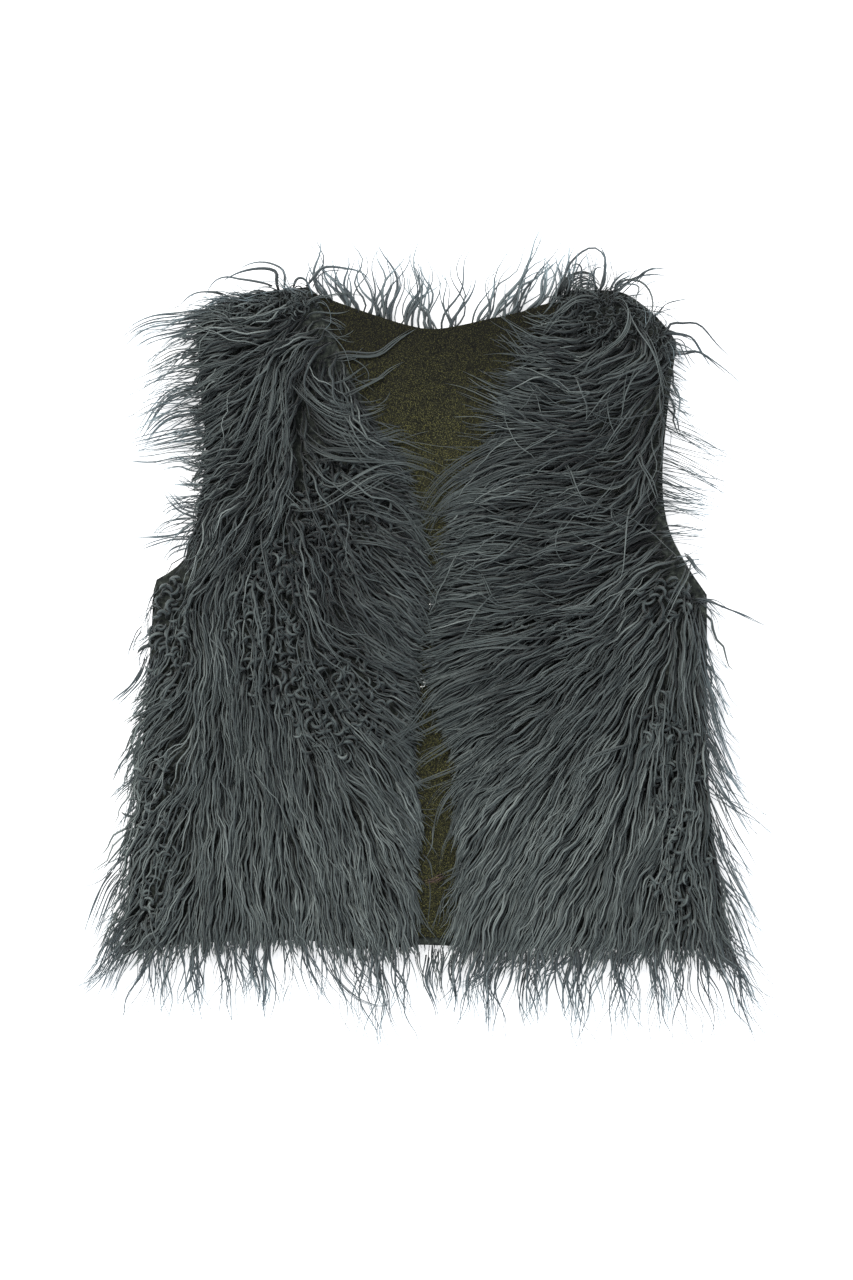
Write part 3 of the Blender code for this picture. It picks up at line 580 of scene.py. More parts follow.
RIGHT_COMB = np.array((
    (0.105, 0.39, 205), (0.135, 0.385, 262), (0.08, 0.365, 172), (0.12, 0.35, 205), (0.055, 0.34, 162),
    (0.14, 0.33, 250), (0.08, 0.325, 176), (0.04, 0.3, 208), (0.1, 0.3, 196), (0.135, 0.295, 238),
    (0.03, 0.265, 198), (0.09, 0.265, 183), (0.14, 0.25, 205), (0.028, 0.22, 187), (0.061, 0.22, 186),
    (0.039, 0.198, 196), (0.095, 0.198, 198), (0.136, 0.211, 226), (0.05, 0.17, 211), (0.095, 0.176, 220),
    (0.116, 0.176, 230), (0.139, 0.187, 240), (0.155, 0.187, 264), (0.15, 0.153, 267), (0.128, 0.143, 250),
    (0.084, 0.143, 223), (0.039, 0.132, 212), (0.039, 0.098, 228), (0.084, 0.098, 236),
    (0.128, 0.098, 252), (0.161, 0.109, 278), (0.166, 0.143, 286), (0.028, 0.081, 243), (0.085, 0.06, 236),
    (0.135, 0.06, 250), (0.172, 0.055, 276), (0.03, 0.015, 250), (0.085, 0.015, 246), (0.14, 0.015, 262),
    (0.18, 0.015, 288),
))


def combed(places, comb):
    """The way the pile lies at each place, in radians."""
    off = places[:, None, :] - comb[None, :, :2]
    weight = ((off**2).sum(2) + 1e-6) ** -1.5
    turn = np.radians(comb[:, 2])
    return np.arctan2(weight @ np.sin(turn), weight @ np.cos(turn))


print("Comb tables:", len(LEFT_COMB), "and", len(RIGHT_COMB), "places")

# %% [markdown]
# ### What lies under a lock
#
# A lock lies on whatever is under it: other pile on its own panel, the lining in the open neck, or the
# table beyond the edge. These helpers measure how far a place is from an outline and on which side, and
# from that how high the ground is and how deep the pile.

# %% Distances, and the height of the ground
def distance_to(places, ring):
    """How far each place lies from a closed outline."""
    a, b = ring, np.roll(ring, -1, axis=0)
    run = b - a
    off = places[:, None, :] - a[None]
    t = np.clip((off * run).sum(2) / np.maximum((run**2).sum(1), 1e-12), 0, 1)
    return np.sqrt(((off - run * t[..., None]) ** 2).sum(2).min(1))


def inside(places, ring):
    """Whether each place lies in a closed outline."""
    a, b = ring, np.roll(ring, -1, axis=0)
    x, y = places[:, :1], places[:, 1:]
    crosses = (a[:, 1] > y) != (b[:, 1] > y)
    rise = np.where(abs(b[:, 1] - a[:, 1]) < 1e-12, 1e-12, b[:, 1] - a[:, 1])
    return (crosses & (x < (b[:, 0] - a[:, 0]) * (y - a[:, 1]) / rise + a[:, 0])).sum(1) % 2 == 1


SINGLE_LOCK = 0.0012  # how deep the few locks lie that cross the lining or the table
TABLE_REST = 0.0010  # the height that they end at on the table
LINING_REST, LINING_THINS = 0.012, 0.018  # how far past an edge they come down to the lining, and thin out
FALL_REACH, FALL_SHAPE = 0.034, 1.3  # how far past an edge they come down to the table, and how roundly


def ground(places):
    """The height that pile starts at, and how deep it lies, at each place."""
    base = np.zeros(len(places))
    depth = np.zeros(len(places))
    near = np.full(len(places), np.inf)
    on_front = np.zeros(len(places), bool)
    for ring in (LEFT_RING, RIGHT_RING):
        off = distance_to(places, ring)
        within = inside(places, ring)
        rise = np.sin(np.minimum(off[within] / PILE_RISE, 1) * math.pi / 2)
        depth[within] = EDGE_PILE + (FULL_PILE - EDGE_PILE) * rise
        near = np.minimum(near, off)
        on_front |= within
    on_lining = ~on_front & inside(places, VEST_RING)
    beyond = ~on_front & ~on_lining
    base[on_front] = BACKING_TOP
    base[on_lining] = LINING_TOP + (BACKING_TOP - LINING_TOP) * np.exp(-near[on_lining] / LINING_REST)
    depth[on_lining] = SINGLE_LOCK + (EDGE_PILE - SINGLE_LOCK) * np.exp(-near[on_lining] / LINING_THINS)
    fall = np.exp(-(near[beyond] / FALL_REACH) ** FALL_SHAPE)
    base[beyond] = TABLE_REST + (BACKING_TOP - TABLE_REST) * fall
    depth[beyond] = SINGLE_LOCK + (EDGE_PILE - SINGLE_LOCK) * fall
    return base, depth


def ripple(places, wavelength, seed):
    """A smooth random field of about unit size, whose bumps are about a wavelength across."""
    draw = np.random.default_rng(seed)
    angle, phase = draw.uniform(0, 2 * math.pi, (2, 8))
    size = wavelength * draw.uniform(0.7, 1.7, 8)
    ways = np.column_stack([np.cos(angle), np.sin(angle)])
    return np.sin(2 * math.pi * (places @ ways.T) / size + phase).sum(1) / 2


# %% [markdown]
# ### From a line to a lock
#
# A lock is a closed tube with three sides and a pointed tip, shaded smooth. Three sides are enough at a
# lock's real width of 0.5 to 2 mm, and they keep thousands of locks within reach. Its cross-section is set
# square to its own direction at every ring.

# %% Tubes along many lines at once
OFF_TABLE = 0.0002  # no lock's underside comes lower
FACET = 0.004  # the share of the UV map's width that each side of a lock takes


def tubes(name, lines, heights, widths, tones, material=FUR):
    """One mesh of many locks. lines is (locks, rings, 2), heights and widths are (locks, rings)."""
    count, rings = heights.shape
    centre = np.dstack([lines + LAY, heights])
    ahead = np.gradient(centre, axis=1)
    ahead /= np.linalg.norm(ahead, axis=2)[..., None]
    across = np.cross(ahead, (0, 0, 1.0))
    across /= np.maximum(np.linalg.norm(across, axis=2), 1e-6)[..., None]
    upward = np.cross(across, ahead)
    corners = []
    for k in range(3):
        turn = math.radians(90 + 120 * k)
        corners.append(centre + widths[..., None] / 2 * (across * math.cos(turn) + upward * math.sin(turn)))
    body = np.stack(corners, 2)[:, :-1].reshape(count, -1, 3)
    places = np.concatenate([body, centre[:, -1:]], 1)
    each = places.shape[1]
    faces, sizes, uv = [0, 1, 2], [3], [(0, 0), (FACET, 0.02), (2 * FACET, 0)]
    for j in range(rings - 1):
        low, high = j / (rings - 1), (j + 1) / (rings - 1)
        for k in range(3):
            here, beside = 3 * j + k, 3 * j + (k + 1) % 3
            left, right = k * FACET, (k + 1) * FACET
            if j < rings - 2:
                faces += [here, here + 3, beside + 3, beside]
                uv += [(left, low), (left, high), (right, high), (right, low)]
                sizes.append(4)
            else:
                faces += [here, each - 1, beside]
                uv += [(left, low), ((left + right) / 2, high), (right, low)]
                sizes.append(3)
    every = (np.arange(count)[:, None] * each + np.array(faces)[None]).ravel()
    columns = np.clip(tones, 0, 1) * (1 - 3 * FACET)
    all_uv = np.tile(np.array(uv), (count, 1)) + np.column_stack([np.repeat(columns, len(uv)),
                                                                  np.zeros(count * len(uv))])
    return piece_from(name, places.reshape(-1, 3), every, np.tile(sizes, count), material, all_uv)


def lock_width(rings, blunt=2.6):
    """A lock's width along it, as a share of its widest: fuller off the root, and drawn to a fine tip."""
    u = np.linspace(0, 1, rings)
    return (0.65 + 0.35 * np.minimum(u / 0.15, 1)) * (1 - u**blunt) ** 0.8 + 0.05


# %% [markdown]
# ### Growing the locks
#
# Roots stand on a jittered lattice. Neighbours share most of their wave, because pile crimps in bundles,
# and each is drawn a little towards its bundle's middle as it goes out, which is what makes the pointed
# tufts. A lock climbs from the cloth over the first part of its length and then lies on those that are
# rooted further down, like a shingle.

# %% Roots, and the lines that grow from them
def scattered(ring, pitch, seed, margin=0.0012):
    """Places on a jittered lattice within an outline."""
    draw = np.random.default_rng(seed)
    low, high = ring.min(0), ring.max(0)
    rows = np.arange(low[1], high[1], pitch * 0.87)
    columns = np.arange(low[0] - pitch, high[0], pitch)
    x, y = np.meshgrid(columns, rows)
    x = x + (np.arange(len(rows)) % 2)[:, None] * pitch / 2
    places = np.column_stack([x.ravel(), y.ravel()]) + draw.uniform(-0.45, 0.45, (x.size, 2)) * pitch
    places = places[inside(places, ring)]
    return places[distance_to(places, ring) > margin]


def nearest(places, centres):
    """The number of the centre that is nearest to each place."""
    return np.array([((centres - place) ** 2).sum(1).argmin() for place in places])


CRIMP, ROOT_CRIMP, ROOT_CRIMP_REACH = 0.7, 1.1, 0.009  # a lock's waves are stronger near its root
SHARED_BENDS = (0.10, 0.034), (0.11, 0.013)  # in radians, and how far apart the bends lie


def grown(roots, comb, lengths, turns, wave, wavelength, phases, rings, seed):
    """Lines of (x, y) that follow the combing from their roots, each with its own wave.

    The bends that neighbours share come from smooth random fields, which every step looks up where it is.
    """
    step = lengths / (rings - 1)
    line = [roots]
    for j in range(1, rings):
        reach = (j - 0.5) * step
        crimp = wave * (CRIMP + ROOT_CRIMP * np.exp(-reach / ROOT_CRIMP_REACH))
        swing = crimp * np.sin(2 * math.pi * reach / wavelength + phases)
        shared = sum(turn * ripple(line[-1], apart, seed + k) for k, (turn, apart) in enumerate(SHARED_BENDS))
        heading = combed(line[-1], comb) + turns + swing + shared
        line.append(line[-1] + step[:, None] * np.column_stack([np.cos(heading), np.sin(heading)]))
    return np.stack(line, 1)


def bundled(lines, roots, bundle_pitch, ring, seed, pull):
    """Draws each line towards the middle of its bundle as it goes out."""
    centres = scattered(ring, bundle_pitch, seed, 0)
    middle = centres[nearest(roots, centres)]
    share = np.linspace(0, 1, lines.shape[1]) ** 1.3
    return lines - ((roots - middle) * np.reshape(pull, (-1, 1)))[:, None, :] * share[None, :, None]


ROOT_DEPTH = 0.10  # how deep in the pile a lock starts, as a share of the pile's depth


def laid(lines, climb, highs):
    """The height of each line's points: up from the cloth at the root, then on the pile below."""
    count, rings = lines.shape[:2]
    base, depth = (part.reshape(count, rings) for part in ground(lines.reshape(-1, 2)))
    u = np.clip(np.linspace(0, 1, rings)[None] / climb[:, None], 0, 1)
    rise = u * u * (3 - 2 * u)
    heights = base + depth * (ROOT_DEPTH + (1 - ROOT_DEPTH) * rise) * highs[:, None]
    for _ in range(2):  # a lock is springy, so it bridges the steps of what it lies on
        heights[:, 1:-1] = (heights[:, :-2] + 2 * heights[:, 1:-1] + heights[:, 2:]) / 4
    return heights


# %% [markdown]
# ### Partings
#
# Where the pile was ruffled the long locks fall away to both sides and their curly roots show. A table
# gives those places as ellipses, with the share of the locks that still crosses each.

# %% Partings, bare places and mats
LEFT_PARTINGS = (
    # x, y, half width, half height, share of long locks that stays
    (-0.101, 0.2, 0.019, 0.04, 0.4), (-0.056, 0.155, 0.028, 0.03, 0.34),
    (-0.161, 0.192, 0.009, 0.034, 0.35), (-0.168, 0.093, 0.01, 0.028, 0.4),
    (-0.056, 0.274, 0.024, 0.028, 0.7), (-0.168, 0.034, 0.008, 0.028, 0.3),
    (-0.076, 0.24, 0.024, 0.021, 0.5),
)
RIGHT_PARTINGS = (
    (0.146, 0.217, 0.015, 0.012, 0.35), (0.148, 0.118, 0.014, 0.034, 0.55),
    (0.152, 0.052, 0.013, 0.034, 0.6), (0.074, 0.199, 0.026, 0.006, 0.5),
)
# Places with fewer locks but no curls: felt shows by the armholes, and matted pile on the right shoulder
LEFT_BARE = (
    (-0.163, 0.222, 0.014, 0.01, 0.04), (-0.171, 0.198, 0.006, 0.026, 0.1),
    (-0.104, 0.397, 0.024, 0.01, 0.55),
)
RIGHT_BARE = (
    (0.1455, 0.264, 0.006, 0.026, 0.08), (0.158, 0.234, 0.008, 0.016, 0.08),
    (0.1695, 0.215, 0.005, 0.01, 0.2), (0.108, 0.391, 0.026, 0.018, 0.35),
    (0.143, 0.376, 0.008, 0.014, 0.4),
)
# Where the pile has matted into short fuzz that lies on top
LEFT_MATS = ((-0.104, 0.399, 0.024, 0.008), (-0.076, 0.405, 0.01, 0.007), (-0.128, 0.392, 0.012, 0.007))
RIGHT_MATS = ((0.106, 0.392, 0.022, 0.015), (0.144, 0.377, 0.007, 0.013), (0.089, 0.405, 0.01, 0.005))
print("Partings:", len(LEFT_PARTINGS) + len(RIGHT_PARTINGS))

# %% [markdown]
# ### How far the locks reach past an edge
#
# The coat's edge isn't the same all round. At the hem the locks hang well past the cloth, and along the
# right side they stop at it. A table gives the reach at places round each front. A lock that would go
# further is grown again, shorter, so that its tip stays pointed, which cutting it off wouldn't do.

# %% Reach past the edges
LEFT_REACH = (
    # x, y, how far past the panel's edge its long locks reach there
    (-0.185, -0.005, 0.01), (-0.16, -0.005, 0.007), (-0.137, -0.005, 0.008), (-0.12, -0.005, 0.002),
    (-0.07, -0.005, 0.002), (-0.056, -0.005, 0.008), (-0.03, -0.005, 0.011), (-0.014, -0.005, 0.001),
    (-0.19, 0.035, 0.014), (-0.188, 0.062, 0.011), (-0.184, 0.1, 0.008), (-0.181, 0.13, 0.006),
    (-0.177, 0.16, 0.002), (-0.175, 0.2, 0.002), (-0.16, 0.238, 0.002), (-0.143, 0.29, 0.003),
    (-0.145, 0.35, 0.004), (-0.14, 0.4, 0.004), (-0.1, 0.41, 0.003), (-0.07, 0.405, 0.002),
    (-0.05, 0.355, 0.002), (-0.028, 0.315, 0.002), (-0.008, 0.275, 0.001), (-0.002, 0.225, 0.002),
    (-0.006, 0.165, 0.001), (-0.006, 0.1, 0.001), (-0.005, 0.03, 0.0003),
)
RIGHT_REACH = (
    (0.18, -0.006, 0.008), (0.14, -0.006, 0.009), (0.1, -0.006, 0.01), (0.074, -0.006, 0.004),
    (0.06, -0.006, 0.014), (0.03, -0.006, 0.011), (0.188, 0.05, 0.001), (0.178, 0.12, 0.0005),
    (0.174, 0.2, 0.0005), (0.16, 0.238, 0.001), (0.145, 0.29, 0.001), (0.15, 0.35, 0.002),
    (0.15, 0.39, 0.003), (0.115, 0.41, 0.003), (0.08, 0.405, 0.003), (0.058, 0.365, 0.006),
    (0.04, 0.325, 0.006), (0.015, 0.275, 0.002), (0.004, 0.225, 0.002), (0.008, 0.165, 0.005),
    (0.016, 0.1, 0.001), (0.018, 0.03, 0.0005),
)
CLEAR_REACH = 0.0015  # where the table allows less than this, an edge is kept clear of tips
CLEAR_BELOW = 0.20  # up to this height on the vest
print("Reach is given at", len(LEFT_REACH) + len(RIGHT_REACH), "places")


def reach_allowed(places, table):
    """How far past its panel's edge a lock may reach at each place."""
    table = np.array(table)
    weight = (((places[:, None] - table[None, :, :2]) ** 2).sum(2) + 1e-5) ** -1.5
    return weight @ table[:, 2] / weight.sum(1)


def trimmed(lines, ring, table, seed):
    """The share of each line that stays, so that few locks reach far past the edge."""
    count, rings = lines.shape[:2]
    flat = lines.reshape(-1, 2)
    past = np.where(inside(flat, ring), 0, distance_to(flat, ring)).reshape(count, rings)
    luck = np.clip(np.exp(np.random.default_rng(seed).normal(0, 0.45, count)), 0.2, 2.6)
    allowed = reach_allowed(lines[:, -1], table)
    kept_clear = (allowed < CLEAR_REACH) & (lines[:, -1, 1] < CLEAR_BELOW)
    over = past > (allowed * luck)[:, None]
    first = np.where(over.any(1), over.argmax(1), rings - 1)
    return np.maximum(first - (kept_clear & over.any(1)), 2) / (rings - 1)


CROSSING = 0.18  # the share of a lock's points in a parting that counts as crossing it


def spared(lines, partings, seed):
    """Which locks stay: those that cross no parting, and a share of those that do."""
    draw = np.random.default_rng(seed)
    stays = np.ones(len(lines), bool)
    for x, y, half_x, half_y, share in partings:
        off = (lines - (x, y)) / (half_x, half_y)
        crosses = ((off**2).sum(2) < 1).mean(1) > CROSSING
        stays &= ~crosses | (draw.uniform(size=len(lines)) < share)
    return stays


# %% [markdown]
# ### Greys
#
# The dye is even, but pile that stands on end looks darker than pile that lies flat and shines. A table of
# greys at a dozen places gives each front that slow change, and every lock then strays a little from it.

# %% Greys over the fronts
def region_tone(places, table):
    """A slow change of grey over a panel, from a table of x, y and tone."""
    table = np.array(table)
    weight = (((places[:, None] - table[None, :, :2]) ** 2).sum(2) + 4e-4) ** -1.2
    return weight @ table[:, 2] / weight.sum(1)


LEFT_TONES = (
    (-0.1, 0.39, 0.42), (-0.08, 0.31, 0.34), (-0.04, 0.29, 0.28), (-0.068, 0.25, 0.1), (-0.12, 0.2, 0.62),
    (-0.05, 0.17, 0.38), (-0.12, 0.08, 0.72), (-0.04, 0.08, 0.74), (-0.16, 0.03, 0.62),
    (-0.08, 0.02, 0.76), (-0.165, 0.16, 0.6),
)
RIGHT_TONES = (
    (0.1, 0.39, 0.3), (0.12, 0.33, 0.28), (0.06, 0.33, 0.36), (0.1, 0.255, 0.16), (0.06, 0.29, 0.36),
    (0.05, 0.22, 0.42), (0.12, 0.2, 0.36), (0.155, 0.21, 0.52), (0.04, 0.13, 0.74), (0.09, 0.1, 0.8),
    (0.15, 0.13, 0.56), (0.09, 0.03, 0.78), (0.16, 0.05, 0.62),
)
print("Greys are given at", len(LEFT_TONES) + len(RIGHT_TONES), "places")

# %% [markdown]
# ### The coat of each front
#
# A front carries some four thousand long locks. They are kept in two pieces, above and below the underarm,
# so that each mesh stays a handy size.

# %% Long locks
COAT_RINGS = 12
SPLIT_Y = 0.205
ROOT_PITCH = 0.0036
LOCK_LENGTH, STRAY_LENGTH = (0.034, 0.060), (0.042, 0.062)
LOCK_WIDTHS = (0.0011, 0.0017), (0.0007, 0.0012), (0.0004, 0.0008)
THICK_SHARE, FINE_FROM, STRAY_FROM = 0.55, 0.90, 0.94
WILD_FROM_Y, WILD_OVER_Y = 0.180, 0.070
WILD_FROM_X, WILD_OVER_X = 0.130, 0.060
# Each pair is a value where the pile is calm, and what is added to it where the pile is wild
TURN, STRAY_TURN = (0.06, 0.07), (0.14, 0.16)
GREY_SPREAD, STRAY_PAINTED_HIGHLIGHT = (0.14, 0.09), (0.07, 0.16)
TUFTY = 0.10, 0.22
WILD_CRIMP, WILD_THICKER, WILD_THINNED = 0.10, 0.18, 0.24
CALM_BUNDLE, WILD_BUNDLE = 0.009, 0.014
CALM_PULL, WILD_PULL = 0.24, 0.62


def by_wildness(pair, wild):
    return pair[0] + pair[1] * wild


def coat(side, ring, comb, reach, partings, tones, waves, seed):
    """A front's long locks. Towards the shoulders and sides they grow wilder, and gather in wider bundles."""
    draw = np.random.default_rng(seed)
    roots = scattered(ring, ROOT_PITCH, seed)
    count = len(roots)
    wild = np.clip(np.maximum((roots[:, 1] - WILD_FROM_Y) / WILD_OVER_Y,
                              (abs(roots[:, 0]) - WILD_FROM_X) / WILD_OVER_X), 0, 1)
    kinds = draw.uniform(size=count)
    lengths = draw.uniform(*LOCK_LENGTH, count)
    stray = kinds > STRAY_FROM - 0.03 * wild
    turns = draw.normal(0, 1, count) * (by_wildness(TURN, wild) + by_wildness(STRAY_TURN, wild) * stray)
    lengths[stray] = draw.uniform(*STRAY_LENGTH, stray.sum())
    wave = draw.uniform(*waves, count) + WILD_CRIMP * wild
    wavelength = 0.019 + 0.003 * ripple(roots, 0.06, seed + 2) + draw.uniform(-0.002, 0.003, count)
    phases = 3.2 * ripple(roots, 0.045, seed + 3) + draw.normal(0, 0.9, count)
    lines = grown(roots, comb, lengths, turns, wave, wavelength, phases, COAT_RINGS, seed + 8)
    lengths = lengths * trimmed(lines, ring, reach, seed + 7)
    lines = grown(roots, comb, lengths, turns, wave, wavelength, phases, COAT_RINGS, seed + 8)
    lines = bundled(lines, roots, CALM_BUNDLE, ring, seed + 4, CALM_PULL * (1 - wild))
    lines = bundled(lines, roots, WILD_BUNDLE, ring, seed + 9, WILD_PULL * wild)
    highs = np.where(stray, draw.uniform(1.1, 1.5, count), draw.uniform(0.40, 1.05, count))
    highs *= 1 + by_wildness(TUFTY, wild) * ripple(roots, 0.024, seed + 10)
    highs = np.clip(highs, 0.25, 1.7)
    heights = laid(lines, draw.uniform(0.22, 0.45, count), highs)
    thick, middling, fine = [draw.uniform(*sizes, count) for sizes in LOCK_WIDTHS]
    widest = np.where(kinds < THICK_SHARE, thick, np.where(kinds < FINE_FROM, middling, fine))
    widest *= 1 + WILD_THICKER * wild
    widths = widest[:, None] * lock_width(COAT_RINGS)[None]
    grey = region_tone(roots, tones) + draw.normal(0, 1, count) * by_wildness(GREY_SPREAD, wild)
    grey = grey + 0.08 * ripple(roots, 0.02, seed + 5)
    # Strays ride high on the pile and catch the light, so their grey is raised as a painted highlight
    grey += by_wildness(STRAY_PAINTED_HIGHLIGHT, wild) * stray
    stays = spared(lines, partings, seed + 6) & (draw.uniform(size=count) > WILD_THINNED * wild)
    made = []
    for part, chosen in (("upper", roots[:, 1] >= SPLIT_Y), ("lower", roots[:, 1] < SPLIT_Y)):
        pick = chosen & stays
        made.append(tubes(f"pile_{side}_{part}", lines[pick], heights[pick], widths[pick], grey[pick]))
    return made


left_coat = coat("left", LEFT_RING, LEFT_COMB, LEFT_REACH, LEFT_PARTINGS + LEFT_BARE, LEFT_TONES,
                 (0.10, 0.30), 100)
right_coat = coat("right", RIGHT_RING, RIGHT_COMB, RIGHT_REACH, RIGHT_PARTINGS + RIGHT_BARE, RIGHT_TONES,
                  (0.04, 0.18), 200)

# %% [markdown]
# ### Root curls
#
# In the partings the cloth is covered in short nubby curls, where pile has sprung back on itself. Each is a
# short thick tube that winds up to two thirds of a turn. Where the pile has matted, the curls are finer and
# closer.

# %% Root curls
CURL_RINGS = 7
CURL_WINDING = 1.6, 4.4  # radians from root to tip
SPOT_MARGIN = 1.25, 1.2  # curls also stand this much past a parting's half width and half height
CURL_PAINTED_SHADE = 0.82
CURL_ARCH = 0.35, 1.9  # a curl's height follows a sine from the first angle on, over the second
CURL_CLEAR = 0.0004


def curls(name, ring, spots, tones, pitch, length, width, lift, seed):
    """Curls in the spots, a pitch apart; length, width and lift are ranges."""
    draw = np.random.default_rng(seed)
    thick = []
    for k, (x, y, half_x, half_y, *_) in enumerate(spots):
        places = scattered(ring, pitch, seed + 10 + k)
        off = (places - (x, y)) / (half_x * SPOT_MARGIN[0], half_y * SPOT_MARGIN[1])
        thick.append(places[(off**2).sum(1) < 1])
    roots = np.vstack(thick)
    count = len(roots)
    lengths = draw.uniform(*length, count)
    winding = draw.choice((-1.0, 1.0), count) * draw.uniform(*CURL_WINDING, count)
    heading = draw.uniform(0, 2 * math.pi, count)
    line = [roots]
    for j in range(1, CURL_RINGS):
        turn = heading + winding * ((j - 0.5) / (CURL_RINGS - 1)) ** 0.8
        ahead = np.column_stack([np.cos(turn), np.sin(turn)])
        line.append(line[-1] + (lengths / (CURL_RINGS - 1))[:, None] * ahead)
    lines = np.stack(line, 1)
    u = np.linspace(0, 1, CURL_RINGS)
    base, depth = ground(roots)
    arch = np.sin(CURL_ARCH[0] + CURL_ARCH[1] * u)[None]
    heights = base[:, None] + depth[:, None] * draw.uniform(*lift, count)[:, None] * arch + CURL_CLEAR
    widths = draw.uniform(*width, count)[:, None] * lock_width(CURL_RINGS, 4)[None]
    # Curls lie low in the pile, where less light reaches, so their grey is painted darker as painted shade
    grey = region_tone(roots, tones) * CURL_PAINTED_SHADE + draw.normal(0, 0.15, count)
    return tubes(name, lines, heights, widths, grey)


# Pitch, and the ranges of length, width and lift
ROOT_CURL = (0.0048, (0.007, 0.014), (0.0018, 0.0029), (0.40, 0.92))
MAT_CURL = (0.0024, (0.004, 0.009), (0.0006, 0.0012), (0.35, 0.90))
MAT_TONES = ((-0.10, 0.40, 0.44), (0.10, 0.39, 0.30))
all_curls = [curls("root_curls_left", LEFT_RING, LEFT_PARTINGS, LEFT_TONES, *ROOT_CURL, 300),
             curls("root_curls_right", RIGHT_RING, RIGHT_PARTINGS, RIGHT_TONES, *ROOT_CURL, 400),
             curls("mats_left", LEFT_RING, LEFT_MATS, MAT_TONES, *MAT_CURL, 320),
             curls("mats_right", RIGHT_RING, RIGHT_MATS, MAT_TONES, *MAT_CURL, 420)]

# %% [markdown]
# ### Wisps at the edges
#
# Past the cut edges the pile frays into long fine wisps. A table for each edge gives the way they point,
# how long they are and how high their tips end. They gather in threes to fives, because fibres cling at
# their tips.

